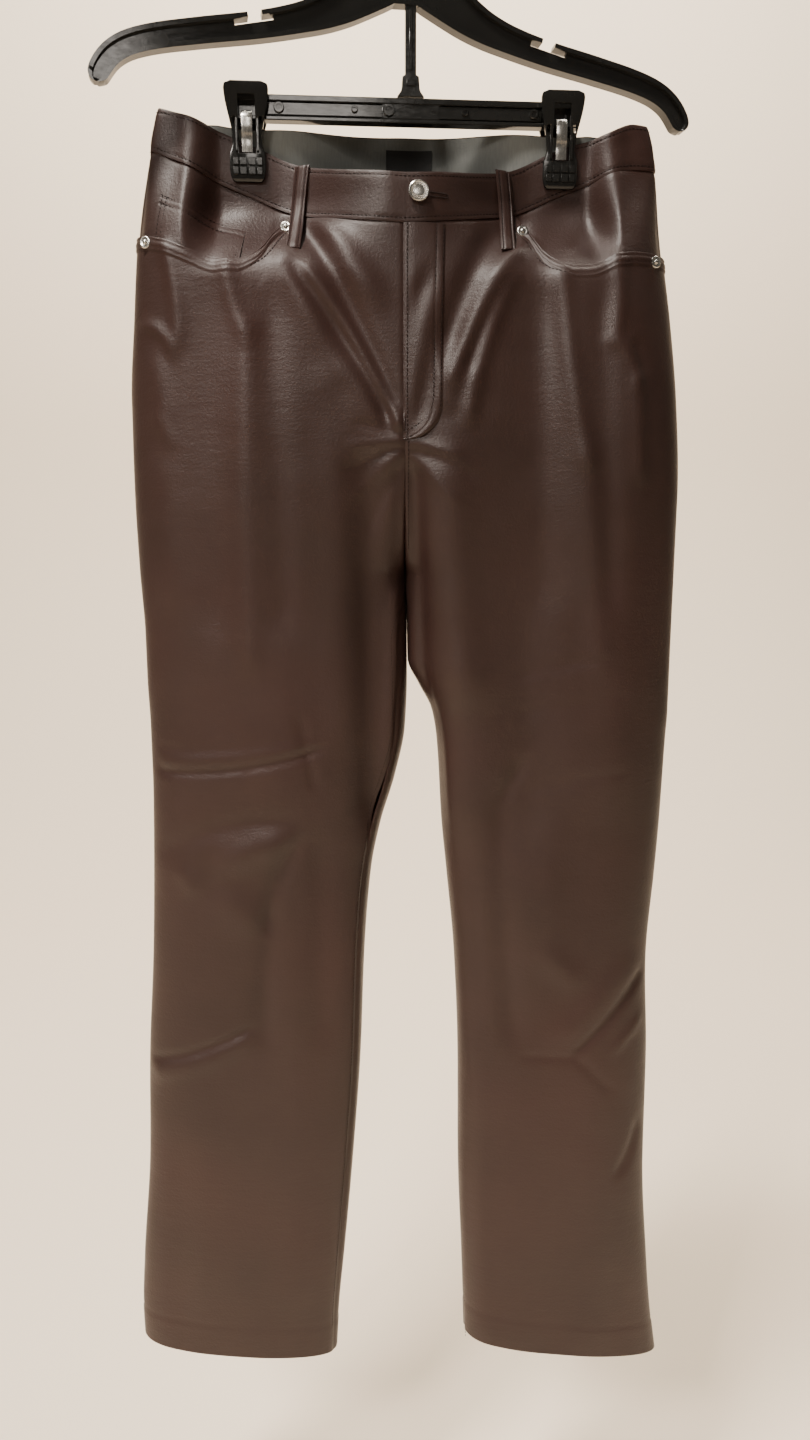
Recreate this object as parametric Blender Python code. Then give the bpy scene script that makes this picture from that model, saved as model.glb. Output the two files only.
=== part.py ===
"""Faux leather trousers held by the waistband in a clip hanger.

World units are metres, +Z up, front of the trousers towards -Y. The origin is the crown of the
hanger's hook, where a rail bears. Lengths below are in millimetres; "drop" is the distance below
the origin. Each leg is a flattened tube that opens into the hips above the crotch.
"""

import math
from collections import namedtuple

import bmesh
import bpy
import numpy as np

MM = 0.001
GAP = 0.3
SEAM_INSET = 0.2
PANEL_INSET = 0.4

# Cloth
CLOTH = 1.2
BAND_PROUD = 0.6
BAND_WALL = 2.4
BACK_BAND_WALL = 1.4
FACING_WALL = 0.9
ROUNDNESS = 2.5

# Heights, as drops
SEAT_OPENS = 396
CROTCH = 516
CROTCH_CURVE = 2.2
SIDE_FLAT = 0.74

Section = namedtuple("Section", "drop outer inner front back")
Edge = namedtuple("Edge", "x front_top front_seam back_top back_seam")
Fold = namedtuple("Fold", "side x0 drop0 x1 drop1 width height")

# The wearer's right is on -X. "outer" and "inner" are distances from the centre plane; an inner
# below zero is past it. "front" and "back" are how far the cloth stands out from the mid-plane.
SECTIONS = {
    "right": (
        Section(184, 178, 0.2, 36, 30),
        Section(222, 186, 0.2, 41, 35),
        Section(270, 195, 0.2, 45, 41),
        Section(330, 202, 0.2, 49, 47),
        Section(390, 208, 0.2, 50, 51),
        Section(460, 209, 0.2, 48, 53),
        Section(516, 208, 0.3, 44, 51),
        Section(565, 206, -1.2, 41, 48),
        Section(600, 206, -1.5, 40, 46),
        Section(640, 205, 0, 39, 44),
        Section(680, 205, 8, 38, 42),
        Section(720, 206, 20, 37, 41),
        Section(760, 207.5, 28, 36, 39),
        Section(830, 211, 34, 34, 36),
        Section(924, 218, 38, 31, 33),
        Section(1018, 222, 45, 29, 30),
        Section(1116, 231, 54, 27, 28),
        Section(1166, 234, 59, 26, 27),
        Section(1215, 233, 62, 26, 27),
    ),
    "left": (
        Section(184, 180, 0.2, 36, 30),
        Section(222, 188, 0.2, 41, 35),
        Section(270, 193, 0.2, 45, 41),
        Section(330, 201, 0.2, 49, 47),
        Section(390, 207, 0.2, 50, 51),
        Section(460, 211, 0.2, 48, 53),
        Section(516, 211, 0.6, 44, 51),
        Section(565, 211, 1.7, 41, 48),
        Section(586, 211, 2.2, 40.5, 47),
        Section(606, 211, 11, 40, 46),
        Section(627, 211, 21.5, 39, 45),
        Section(650, 210, 25.5, 39, 44),
        Section(720, 208, 30, 37, 41),
        Section(760, 206, 34, 36, 39),
        Section(833, 202, 41, 34, 36),
        Section(924, 206, 45, 31, 33),
        Section(1018, 207, 46, 29, 30),
        Section(1116, 214, 50, 27, 28),
        Section(1166, 219, 52, 26, 27),
        Section(1215, 226, 54, 26, 27),
    ),
}

# The waistband's edges along X: it sags between the clips in front and stays high at the back.
WAIST = (
    Edge(-182, 184, 216, 184, 218),
    Edge(-155, 193, 228, 191, 226),
    Edge(-113, 209, 245, 197, 232),
    Edge(-69, 226, 261, 195.5, 229),
    Edge(0, 237, 271, 190, 225),
    Edge(68, 227, 259, 194, 227),
    Edge(117, 206, 239, 196.5, 230),
    Edge(150, 197, 227, 194, 227),
    Edge(170, 189, 222, 190, 223),
    Edge(184, 189, 221, 189, 221),
)

# The curved pocket mouths: distance from the centre plane and drop of the front panel's edge.
MOUTHS = {
    "right": (
        (84, 259), (88, 264), (94.5, 272), (100.6, 284), (109, 292), (120, 296.5),
        (134, 296.5), (152, 290), (169, 283), (186, 278), (199, 276),
    ),
    "left": (
        (84, 257), (88, 263), (91, 267), (95.6, 277), (103, 287), (111.5, 294),
        (120, 297.5), (132, 297.5), (151, 291), (165, 287), (178, 286), (198, 286),
    ),
}
MOUTH_START = 84

# The largest folds, as soft ridges (height above zero) and troughs (below zero) in the front.
FOLDS = (
    Fold("right", 75, 285, 28, 345, 9, 3.0),
    Fold("right", 78, 335, 4, 412, 8, 3.4),
    Fold("right", 95, 300, 40, 385, 13, 3.0),
    Fold("right", 60, 300, 12, 385, 7, -2.6),
    Fold("right", 128, 320, 118, 545, 16, 2.6),
    Fold("right", 176, 320, 176, 400, 12, 2.0),
    Fold("left", 78, 290, 32, 390, 9, 3.2),
    Fold("left", 88, 300, 50, 405, 11, 2.8),
    Fold("left", 70, 290, 32, 370, 7, -2.8),
    Fold("left", 120, 320, 150, 520, 14, 2.8),
    Fold("left", 164, 320, 176, 440, 12, 2.0),
    Fold("right", 96, 360, 104, 720, 30, 2.6),
    Fold("left", 92, 300, 98, 720, 24, -2.8),
    Fold("right", 194, 676, 66, 652, 7, -2.6),
    Fold("right", 148, 748, 92, 730, 11, 3.0),
    Fold("right", 90, 735, 116, 895, 10, -2.6),
    Fold("right", 220, 922, 126, 888, 8, -2.2),
    Fold("left", 90, 625, 170, 610, 9, -1.4),
    Fold("left", 112, 822, 142, 850, 13, 2.2),
    Fold("left", 200, 842, 140, 912, 8, -2.6),
)

# Where the inseam lies on the tube, in radians forward of its innermost line, by drop.
INSEAM_TURN = {
    "right": ((CROTCH, 0), (570, 0.42), (700, 0.36), (1100, 0.30), (1215, 0.22)),
    "left": ((CROTCH, 0), (570, 0.10), (700, 0.05), (1215, 0.05)),
}

HEM = {"right": (1191, 1209), "left": (1209, 1189)}

# The hanger
CLIP_X = 115
CLIP_YAW = math.radians(4)
SHOULDER_YAW = math.radians(12)
PINCH = 3.2
PINCH_FLAT = 20
PINCH_START = 8
PINCH_OUT = 160
PINCH_TOP = 246
PINCH_END = 310

SIGN = {"right": -1, "left": 1}

COLOURS = {
    "faux_leather": ((0.055, 0.030, 0.026), 0.42, 0.0),
    "charcoal_cloth": ((0.035, 0.038, 0.038), 0.75, 0.0),
    "black_label": ((0.006, 0.006, 0.006), 0.6, 0.0),
    "black_plastic": ((0.012, 0.012, 0.012), 0.3, 0.0),
    "bright_steel": ((0.62, 0.60, 0.56), 0.25, 1.0),
    "zip_tape": ((0.03, 0.02, 0.018), 0.7, 0.0),
}


def smooth_curve(xs, ys, x):
    """A monotone cubic through the points, held level past both ends."""
    xs = np.asarray(xs, float)
    ys = np.asarray(ys, float)
    x = np.clip(np.asarray(x, float), xs[0], xs[-1])
    step = np.diff(xs)
    slope = np.diff(ys) / step
    tangent = np.zeros(len(xs))
    same_way = slope[:-1] * slope[1:] > 0
    before = 2 * step[1:] + step[:-1]
    after = step[1:] + 2 * step[:-1]
    safe = np.where(same_way, slope[:-1] * slope[1:], 1.0)
    mean = (before + after) * safe / (before * slope[1:] + after * slope[:-1] + (~same_way))
    tangent[1:-1] = np.where(same_way, mean, 0.0)
    tangent[0] = slope[0]
    tangent[-1] = slope[-1]
    i = np.clip(np.searchsorted(xs, x, side="right") - 1, 0, len(step) - 1)
    h = step[i]
    t = (x - xs[i]) / h
    rise = ys[i] * (1 + 2 * t) * (1 - t) ** 2 + ys[i + 1] * t * t * (3 - 2 * t)
    return rise + h * t * (1 - t) * (tangent[i] * (1 - t) - tangent[i + 1] * t)


def ease(low, high, value):
    """0 below low, 1 above high, smooth between."""
    t = np.clip((np.asarray(value, float) - low) / (high - low), 0, 1)
    return t * t * (3 - 2 * t)


def column(table, name, at, key="drop"):
    return smooth_curve([getattr(row, key) for row in table],
                        [getattr(row, name) for row in table], at)


def fullness(turn):
    """How full a flattened tube is at this angle: 0 at its two side edges, 1 in the middle."""
    along = np.abs(np.cos(turn)) ** ROUNDNESS
    return np.sign(np.sin(turn)) * np.maximum(1 - along, 0) ** (1 / ROUNDNESS)


def closing(tube, drop):
    """0 where left and right panels form one hip, 1 where each leg is a closed tube.

    At the centre the cloth turns under along a round crotch curve; away from it the change is
    slow and even.
    """
    k = np.clip((drop - SEAT_OPENS) / (CROTCH - SEAT_OPENS), 0, 1)
    round_under = 1 - np.sqrt(np.maximum(1 - k ** CROTCH_CURVE, 0))
    slow = ease(SEAT_OPENS, CROTCH + 70, drop)
    near = ease(0.70, 0.99, 1 - np.abs(1 - tube / math.pi))
    return slow * (1 - near) + round_under * near


def pinched(x, drop):
    """1 where a clip holds the cloth flat, fading to 0 around it."""
    reach = np.abs(x)
    held = ease(PINCH_START, CLIP_X - PINCH_FLAT, reach)
    held = held * (1 - ease(CLIP_X + PINCH_FLAT, PINCH_OUT, reach))
    return held * (1 - ease(PINCH_TOP, PINCH_END, drop))


def fold_height(side, x, drop):
    """How far the folds lift the front of one leg at this place."""
    total = np.zeros(np.broadcast(x, drop).shape)
    out = x * SIGN[side]
    for fold in FOLDS:
        if fold.side != side:
            continue
        run = np.array([fold.x1 - fold.x0, fold.drop1 - fold.drop0])
        length = math.hypot(*run)
        along = ((out - fold.x0) * run[0] + (drop - fold.drop0) * run[1]) / length ** 2
        across = ((out - fold.x0) * run[1] - (drop - fold.drop0) * run[0]) / length
        ends = ease(-0.15, 0.25, along) * (1 - ease(0.75, 1.15, along))
        total = total + fold.height * ends * np.exp(-((across / fold.width) ** 2))
    return total


def cloth_point(side, face, w, drop):
    """The cloth's outer surface: w runs from the side seam (0) to the centre or inseam (1)."""
    w = np.asarray(w, float)
    drop = np.asarray(drop, float)
    table = SECTIONS[side]
    way = -1 if face == "front" else 1
    outer = column(table, "outer", drop)
    inner = column(table, "inner", drop)
    other = "back" if face == "front" else "front"
    deep = column(table, face, drop)
    turn_table = INSEAM_TURN[side]
    turn = smooth_curve([row[0] for row in turn_table], [row[1] for row in turn_table], drop)
    end = math.pi - turn if face == "front" else math.pi + turn
    tube = w * end
    shut = closing(tube, drop)
    x = SIGN[side] * (inner + (outer - inner) * (1 + np.cos(tube)) / 2)
    full = fullness(tube)
    full = np.where(tube > math.pi / 2, full * shut + 1 - shut, full)
    y = way * full * np.where(tube > math.pi, column(table, other, drop), deep)
    if face == "front":
        y = y - fold_height(side, x, drop) * np.minimum(1, np.abs(y) / 20)
    beside = ease(CLIP_X, 170, np.abs(x)) * (1 - ease(200, 290, drop))
    y = y * (1 - SIDE_FLAT * beside)
    hold = pinched(x, drop)
    y = y * (1 - hold) + way * PINCH * hold
    y = y + x * math.tan(CLIP_YAW) * (1 - ease(230, 420, drop))
    return np.stack(np.broadcast_arrays(x, y, -drop), axis=-1)


def cloth_normal(side, face, w, drop):
    step_w = 0.002
    w = np.asarray(w, float)
    low = np.clip(w - step_w, 0, 1)
    high = np.clip(w + step_w, 0, 1)
    across = cloth_point(side, face, high, drop) - cloth_point(side, face, low, drop)
    down = cloth_point(side, face, w, drop + 1.0) - cloth_point(side, face, w, drop - 1.0)
    normal = np.cross(across, down)
    normal = normal / np.maximum(np.linalg.norm(normal, axis=-1, keepdims=True), 1e-9)
    outward = -SIGN[side] if face == "front" else SIGN[side]
    return normal * outward * -1


def across_at(side, face, x, drop):
    """The w whose surface point lies at this x, above the crotch."""
    low = np.zeros(np.broadcast(x, drop).shape)
    high = np.ones_like(low)
    target = np.abs(x)
    for _ in range(40):
        middle = (low + high) / 2
        beyond = np.abs(cloth_point(side, face, middle, drop)[..., 0]) > target
        low = np.where(beyond, middle, low)
        high = np.where(beyond, high, middle)
    return (low + high) / 2


def place(face, x, drop):
    """The surface point and its outward normal at x and drop, on either side of the centre."""
    x, drop = np.broadcast_arrays(np.asarray(x, float), np.asarray(drop, float))
    points = np.zeros(x.shape + (3,))
    normals = np.zeros_like(points)
    for side, chosen in (("right", x < 0), ("left", x >= 0)):
        if not chosen.any():
            continue
        w = across_at(side, face, x[chosen], drop[chosen])
        points[chosen] = cloth_point(side, face, w, drop[chosen])
        normals[chosen] = cloth_normal(side, face, w, drop[chosen])
    points[..., 0] = x
    return points, normals


def material(name):
    found = bpy.data.materials.get(name)
    if found:
        return found
    colour, roughness, metallic = COLOURS[name]
    made = bpy.data.materials.new(name)
    made.use_nodes = True
    shader = made.node_tree.nodes["Principled BSDF"]
    shader.inputs["Base Color"].default_value = (*colour, 1)
    shader.inputs["Roughness"].default_value = roughness
    shader.inputs["Metallic"].default_value = metallic
    return made


def add_mesh(name, bm, finish, smooth=True):
    """Makes one closed object from a bmesh in millimetres."""
    bmesh.ops.recalc_face_normals(bm, faces=bm.faces)
    if bm.calc_volume(signed=True) < 0:
        bmesh.ops.reverse_faces(bm, faces=bm.faces)
    bmesh.ops.scale(bm, vec=(MM, MM, MM), verts=bm.verts)
    mesh = bpy.data.meshes.new(name)
    bm.to_mesh(mesh)
    bm.free()
    if smooth:
        mesh.shade_smooth()
        mesh.set_sharp_from_angle(angle=math.radians(40))
    mesh.materials.append(material(finish))
    made = bpy.data.objects.new(name, mesh)
    bpy.context.scene.collection.objects.link(made)
    return made


def sheet(name, points, normals, outside, wall, finish="faux_leather", inset=SEAM_INSET):
    """A cloth wall through a grid of points, from outside (along the normal) inwards by wall."""
    points = points.copy()
    for end, beside in ((0, 1), (-1, -2)):
        edge = points[beside] - points[end]
        points[end] += inset * edge / np.linalg.norm(edge, axis=-1, keepdims=True)
    for end, beside in ((0, 1), (-1, -2)):
        edge = points[:, beside] - points[:, end]
        points[:, end] += inset * edge / np.linalg.norm(edge, axis=-1, keepdims=True)
    rows, columns = points.shape[:2]
    bm = bmesh.new()
    skins = []
    for offset in (outside, outside - wall):
        skin = points + normals * offset
        skins.append([[bm.verts.new(skin[r, c]) for c in range(columns)] for r in range(rows)])
    for r in range(rows - 1):
        for c in range(columns - 1):
            for skin, order in ((skins[0], 1), (skins[1], -1)):
                corners = (skin[r][c], skin[r][c + 1], skin[r + 1][c + 1], skin[r + 1][c])
                bm.faces.new(corners[:3][::order])
                bm.faces.new((corners[0], corners[2], corners[3])[::order])
    rim = [(0, c) for c in range(columns)] + [(r, columns - 1) for r in range(1, rows)]
    rim += [(rows - 1, c) for c in range(columns - 2, -1, -1)]
    rim += [(r, 0) for r in range(rows - 2, 0, -1)]
    for (r0, c0), (r1, c1) in zip(rim, rim[1:] + rim[:1]):
        bm.faces.new((skins[0][r1][c1], skins[0][r0][c0], skins[1][r0][c0], skins[1][r1][c1]))
    return add_mesh(name, bm, finish)


def waist_edge(name, x):
    return column(WAIST, name, x, key="x")


def drops_down(top, bottom, shares):
    """Row drops for each column, from its own top to its own bottom."""
    return top[None, :] + (bottom - top)[None, :] * np.asarray(shares)[:, None]


def seam_drop(side, face, w, edge_of):
    """The drop at which column w meets an edge that is given as a function of x."""
    drop = np.full(np.shape(w), 240.0)
    for _ in range(12):
        drop = 0.5 * drop + 0.5 * edge_of(cloth_point(side, face, w, drop)[..., 0])
    return drop


def hem_drop(side, w):
    outer, inner = HEM[side]
    return outer + (inner - outer) * np.asarray(w)


def front_edge(side):
    """The front panel's top edge: the waistband seam, then the pocket mouth."""
    mouth_x = [row[0] for row in MOUTHS[side]]
    mouth_drop = [row[1] for row in MOUTHS[side]]

    def edge_of(x):
        mouth = smooth_curve(mouth_x, mouth_drop, np.abs(x))
        return np.where(np.abs(x) > MOUTH_START, mouth, waist_edge("front_seam", x))

    return edge_of


# The columns of every cloth grid, as shares from the side seam to the centre: close together
# beside the clip and along the steep end of the pocket mouth.
COLUMNS = np.array((
    0, 0.04, 0.085, 0.13, 0.18, 0.235, 0.295, 0.35, 0.41, 0.44, 0.465, 0.485, 0.505, 0.525,
    0.545, 0.575, 0.62, 0.68, 0.75, 0.83, 0.91, 1,
))
BACK_COLUMNS = np.array((
    0, 0.04, 0.10, 0.18, 0.26, 0.35, 0.41, 0.485, 0.56, 0.66, 0.77, 0.83, 0.91, 1,
))
# The rows of the long panels, as shares from top to hem: close together at the crotch.
PANEL_ROWS = np.array((
    0, 0.012, 0.03, 0.052, 0.078, 0.106, 0.135, 0.166, 0.198, 0.23, 0.247, 0.2572, 0.2613,
    0.275, 0.30, 0.335, 0.37, 0.41, 0.45, 0.49, 0.535, 0.585, 0.64, 0.70, 0.76, 0.83, 0.91, 1,
))


def make_panels():
    for side in SECTIONS:
        add_panel(side, "front", COLUMNS, front_edge(side), PANEL_ROWS)
        add_panel(side, "back", BACK_COLUMNS, lambda x: waist_edge("back_seam", x), PANEL_ROWS)


def add_panel(side, face, w, edge_of, shares):
    top = seam_drop(side, face, w, edge_of)
    drop = drops_down(top, hem_drop(side, w), shares)
    grid = np.broadcast_to(w, drop.shape)
    points = cloth_point(side, face, grid, drop)
    normals = cloth_normal(side, face, grid, drop)
    return sheet(f"{face}_panel_{side}", points, normals, 0, CLOTH, inset=PANEL_INSET)


def make_waistband():
    shares = np.linspace(0, 1, 4)
    for side in SECTIONS:
        w = COLUMNS
        top = seam_drop(side, "front", w, lambda x: waist_edge("front_top", x))
        seam = seam_drop(side, "front", w, lambda x: waist_edge("front_seam", x))
        drop = drops_down(top, seam, shares)
        grid = np.broadcast_to(w, drop.shape)
        sheet(f"waistband_front_{side}", cloth_point(side, "front", grid, drop),
              cloth_normal(side, "front", grid, drop), BAND_PROUD, BAND_WALL)
    layers = (
        ("waistband_back", BAND_PROUD, BACK_BAND_WALL, "faux_leather"),
        ("waistband_facing_back", BAND_PROUD - BACK_BAND_WALL - GAP, FACING_WALL,
         "charcoal_cloth"),
    )
    for name, outside, wall, finish in layers:
        halves = [back_band_half(side, shares) for side in ("right", "left")]
        points = np.concatenate((halves[0][0], halves[1][0][:, -2::-1]), axis=1)
        normals = np.concatenate((halves[0][1], halves[1][1][:, -2::-1]), axis=1)
        middle = len(BACK_COLUMNS) - 1
        points[:, middle, 0] = 0
        normals[:, middle] = (0, 1, 0)
        sheet(name, points, normals, outside, wall, finish)


def back_band_half(side, shares):
    w = BACK_COLUMNS
    top = seam_drop(side, "back", w, lambda x: waist_edge("back_top", x))
    seam = seam_drop(side, "back", w, lambda x: waist_edge("back_seam", x))
    drop = drops_down(top, seam, shares)
    grid = np.broadcast_to(w, drop.shape)
    return cloth_point(side, "back", grid, drop), cloth_normal(side, "back", grid, drop)


def patch(name, face, x, drop, outside, wall, finish="faux_leather"):
    """A flat piece lying on the cloth: grids of x and drop, moved out along the normal."""
    points, normals = place(face, x, drop)
    return sheet(name, points, normals, outside, wall, finish, inset=0)


def make_fly():
    rows = np.linspace(0, 1, 12)
    width = 29 - 2 * rows
    bottom = 419
    top = 271 + GAP
    drop = top + (bottom - top) * rows
    # Below this share the J turns in to the centre.
    turn = np.clip((rows - 0.82) / 0.18, 0, 1)
    reach = width * np.sqrt(1 - turn ** 2 * 0.96)
    x = -1.0 + np.linspace(0, 1, 5)[None, :] * (reach + 1.0)[:, None]
    patch("fly_placket", "front", x, drop[:, None] + 0 * x, CLOTH + 2 * GAP, CLOTH)
    zip_drop = np.linspace(276, 392, 7)[:, None] + np.zeros((1, 3))
    zip_x = np.zeros((7, 1)) + np.array((-9.0, 0.0, 9.0))[None, :]
    patch("fly_zip", "front", zip_x, zip_drop, -2 * CLOTH, CLOTH, "zip_tape")


FACING_COLUMNS = 16
COIN_COLUMNS = slice(4, 10)
FACING_SINK = 3.9
COIN_SINK = 2.1
COIN_WALL = 0.6


def facing_depth(w):
    return FACING_SINK * ease(0, 0.1, w)


def make_pockets():
    for side in SECTIONS:
        w = COLUMNS[:FACING_COLUMNS]
        seam = seam_drop(side, "front", w, lambda x: waist_edge("front_seam", x))
        mouth = np.maximum(seam_drop(side, "front", w, front_edge(side)), seam + 8)
        below = -GAP + (12 + GAP) * ease(0.05, 0.15, w)
        drop = drops_down(seam, mouth + below, np.linspace(0, 1, 9))
        grid = np.broadcast_to(w, drop.shape)
        points = cloth_point(side, "front", grid, drop)
        normals = cloth_normal(side, "front", grid, drop)
        points = points - normals * facing_depth(grid)[..., None]
        sheet(f"pocket_facing_{side}", points, normals, 0, FACING_WALL)
    w = COLUMNS[COIN_COLUMNS]
    share = (w - w[0]) / (w[-1] - w[0])
    drop = drops_down(246 + 22 * share, 294 + 8 * share, np.linspace(0, 1, 6))
    grid = np.broadcast_to(w, drop.shape)
    sheet("coin_pocket", cloth_point("right", "front", grid, drop),
          cloth_normal("right", "front", grid, drop), -COIN_SINK, COIN_WALL, inset=0)


Loop = namedtuple("Loop", "name face x_top x_foot top foot")
LOOPS = (
    Loop("belt_loop_front_right", "front", -74, -80, 224.5, 288),
    Loop("belt_loop_front_left", "front", 71, 74.5, 225, 287),
    Loop("belt_loop_back_right", "back", -60, -60, 197, 243),
    Loop("belt_loop_back_left", "back", 60, 60, 196, 241),
    Loop("belt_loop_back_centre", "back", 0, 0, 193, 240),
)
LOOP_WIDTH = 10
LOOP_WALL = 1.8
LOOP_BOW = 2.2
LOOP_CLEAR = 0.9


def make_loops():
    for loop in LOOPS:
        rows = np.linspace(0, 1, 9)[:, None]
        across = np.array((-0.5, 0, 0.5))[None, :]
        x = loop.x_top + (loop.x_foot - loop.x_top) * rows + LOOP_WIDTH * across
        drop = loop.top + (loop.foot - loop.top) * rows + 0 * across
        points, normals = place(loop.face, x, drop)
        lift = LOOP_BOW * np.sin(np.pi * rows)[..., None]
        points = points + normals * lift
        sheet(loop.name, points, normals, BAND_PROUD + LOOP_CLEAR + LOOP_WALL, LOOP_WALL, inset=0)


def turned(name, centre, axis, profile, finish, sides=20):
    """A round piece: rows of (radius, height) turned about an axis through centre."""
    axis = np.asarray(axis, float)
    axis = axis / np.linalg.norm(axis)
    beside = np.cross(axis, (0, 0, 1.0))
    beside = beside / np.linalg.norm(beside)
    upward = np.cross(beside, axis)
    bm = bmesh.new()
    rings = []
    for radius, height in profile:
        ring = []
        for i in range(sides):
            turn = 2 * math.pi * i / sides
            spoke = beside * math.cos(turn) + upward * math.sin(turn)
            ring.append(bm.verts.new(np.asarray(centre) + axis * height + spoke * radius))
        rings.append(ring)
    for low, high in zip(rings, rings[1:]):
        for i in range(sides):
            j = (i + 1) % sides
            bm.faces.new((low[i], low[j], high[j], high[i]))
    bm.faces.new(rings[0][::-1])
    bm.faces.new(rings[-1])
    return add_mesh(name, bm, finish)


Stud = namedtuple("Stud", "name x drop lift profile")
RIVET = ((4.0, 0), (4.2, 0.7), (3.4, 1.3), (1.5, 1.3), (1.3, 2.0), (0.6, 2.3))
BUTTON = ((3.0, 0), (3.0, 1.2), (7.1, 1.6), (7.4, 2.6), (6.6, 3.4), (5.6, 3.0), (1.0, 2.9))
RIVET_LIFT = 1.0
STUDS = (
    Stud("rivet_right_inner", -86.5, 269, RIVET_LIFT, RIVET),
    Stud("rivet_right_outer", -186, 283, RIVET_LIFT, RIVET),
    Stud("rivet_left_inner", 86.5, 269, RIVET_LIFT, RIVET),
    Stud("rivet_left_outer", 184, 292, RIVET_LIFT, RIVET),
    Stud("waist_button", 9.5, 251, BAND_PROUD + GAP, BUTTON),
)


def make_studs():
    for stud in STUDS:
        point, normal = place("front", np.array([stud.x]), np.array([stud.drop]))
        foot = point[0] + normal[0] * stud.lift
        turned(stud.name, foot, normal[0], stud.profile, "bright_steel", 16)


def make_label():
    x = np.linspace(-15, 21, 5)[None, :] + np.zeros((3, 1))
    drop = np.linspace(199, 215, 3)[:, None] + np.zeros((1, 5))
    inner = BAND_PROUD - BACK_BAND_WALL - GAP - FACING_WALL
    patch("waist_label", "back", x, drop, inner - GAP, 0.6, "black_label")


def turned_point(x, y, yaw):
    """A place in the hanger's own plane, turned so that its right end comes forward."""
    return x * math.cos(yaw) - y * math.sin(yaw), x * math.sin(yaw) + y * math.cos(yaw)


def plate(name, outline, y_front, y_back, yaw, finish, middle_x=0.0):
    """An outline of (x, drop) points made a plate between two depths, turned by yaw."""
    bm = bmesh.new()
    faces = []
    for y in (y_front, y_back):
        ring = []
        for x, drop in outline:
            out, deep = turned_point(x + middle_x, y, yaw)
            ring.append(bm.verts.new((out, deep, -drop)))
        faces.append(ring)
    count = len(outline)
    for i in range(count):
        j = (i + 1) % count
        bm.faces.new((faces[0][i], faces[0][j], faces[1][j], faces[1][i]))
    bm.faces.new(faces[0][::-1])
    bm.faces.new(faces[1])
    return add_mesh(name, bm, finish, smooth=False)


# The shoulder body's upper and lower edge: reach from the centre, then drop.
SHOULDER_TOP = (
    (0, 78), (14, 79), (24, 84), (34, 93), (47, 103), (62, 112), (80, 120), (106, 127),
    (148, 135), (184, 144), (204, 153), (214, 163), (220, 176),
)
SHOULDER_BOTTOM = (
    (217, 182), (211, 181), (205, 170), (195, 162), (170, 156), (110, 146), (60, 135),
    (44, 129), (28, 121), (14, 114), (0, 113),
)
SHOULDER_THICK = 9
STEM_X = 4.0
STEM_TOP = 114
STEM_BOTTOM = 173.6
BAR_TOP = 175
BAR_BOTTOM = 192
BAR_THICK = 9


def make_hanger():
    half = list(SHOULDER_TOP) + list(SHOULDER_BOTTOM)
    outline = [(reach, drop) for reach, drop in half[:-1]]
    outline += [(0, SHOULDER_BOTTOM[-1][1])]
    outline += [(-reach, drop) for reach, drop in half[-2:0:-1]]
    plate("hanger_shoulder", outline, -SHOULDER_THICK / 2, SHOULDER_THICK / 2, SHOULDER_YAW,
          "black_plastic")
    stem = [(STEM_X + 4, STEM_TOP), (STEM_X + 4, STEM_BOTTOM - 14), (STEM_X + 6, STEM_BOTTOM - 13),
            (STEM_X + 6, STEM_BOTTOM - 5), (STEM_X + 9, STEM_BOTTOM), (STEM_X - 9, STEM_BOTTOM),
            (STEM_X - 6, STEM_BOTTOM - 5), (STEM_X - 6, STEM_BOTTOM - 13),
            (STEM_X - 4, STEM_BOTTOM - 14), (STEM_X - 4, STEM_TOP)]
    plate("hanger_stem", stem, -3, 3, CLIP_YAW, "black_plastic")
    end = CLIP_X + 14
    bar = [(end, BAR_TOP), (end, BAR_BOTTOM), (-end, BAR_BOTTOM), (-end, BAR_TOP)]
    plate("clip_bar", bar, -BAR_THICK / 2, BAR_THICK / 2, CLIP_YAW, "black_plastic")
    make_hook()
    for side, sign in SIGN.items():
        make_clip(side, sign * CLIP_X)


HOOK_WIRE = 3.6
HOOK_RADIUS = 21


def make_hook():
    """A round-wire hook whose crown bears on the rail at the origin, its mouth to the left."""
    radius = HOOK_RADIUS + HOOK_WIRE / 2
    centre = -HOOK_RADIUS
    points = [(0, 0, -77.4), (0, 0, -70), (0, 0, -62), (2.5, 0, -55)]
    for degrees in range(-52, 191, 11):
        turn = math.radians(degrees)
        points.append((radius * math.cos(turn), 0, centre + radius * math.sin(turn)))
    curve = bpy.data.curves.new("hanger_hook", "CURVE")
    curve.dimensions = "3D"
    curve.bevel_depth = HOOK_WIRE / 2 * MM
    curve.bevel_resolution = 2
    curve.use_fill_caps = True
    spline = curve.splines.new("POLY")
    spline.points.add(len(points) - 1)
    for point, (x, y, z) in zip(spline.points, points):
        out, deep = turned_point(x, y, SHOULDER_YAW)
        point.co = (out * MM, deep * MM, z * MM, 1)
    curve.materials.append(material("bright_steel"))
    made = bpy.data.objects.new("hanger_hook", curve)
    bpy.context.scene.collection.objects.link(made)
    return made


Clip = namedtuple("Clip", "drop half_width depth wall")
# From the flared handle down past the bar to the jaw that bears on the waistband.
CLIP_ROWS = (
    Clip(171, 14, 13.5, 3.0),
    Clip(174, 16, 13.5, 3.2),
    Clip(184, 16, 11.5, 3.4),
    Clip(194, 14, 9.5, 3.6),
    Clip(203, 12, 8.0, 3.6),
    Clip(211, 11.5, 7.7, 3.6),
    Clip(221, 12.5, 7.6, 3.4),
    Clip(229, 13, 7.4, 3.2),
    Clip(235, 10.5, 6.6, 2.4),
)
SLOT_HALF = 6.5
SLOT_TOP = 179
SLOT_FOOT = 216
SLOT_REACH = 5.1


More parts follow.
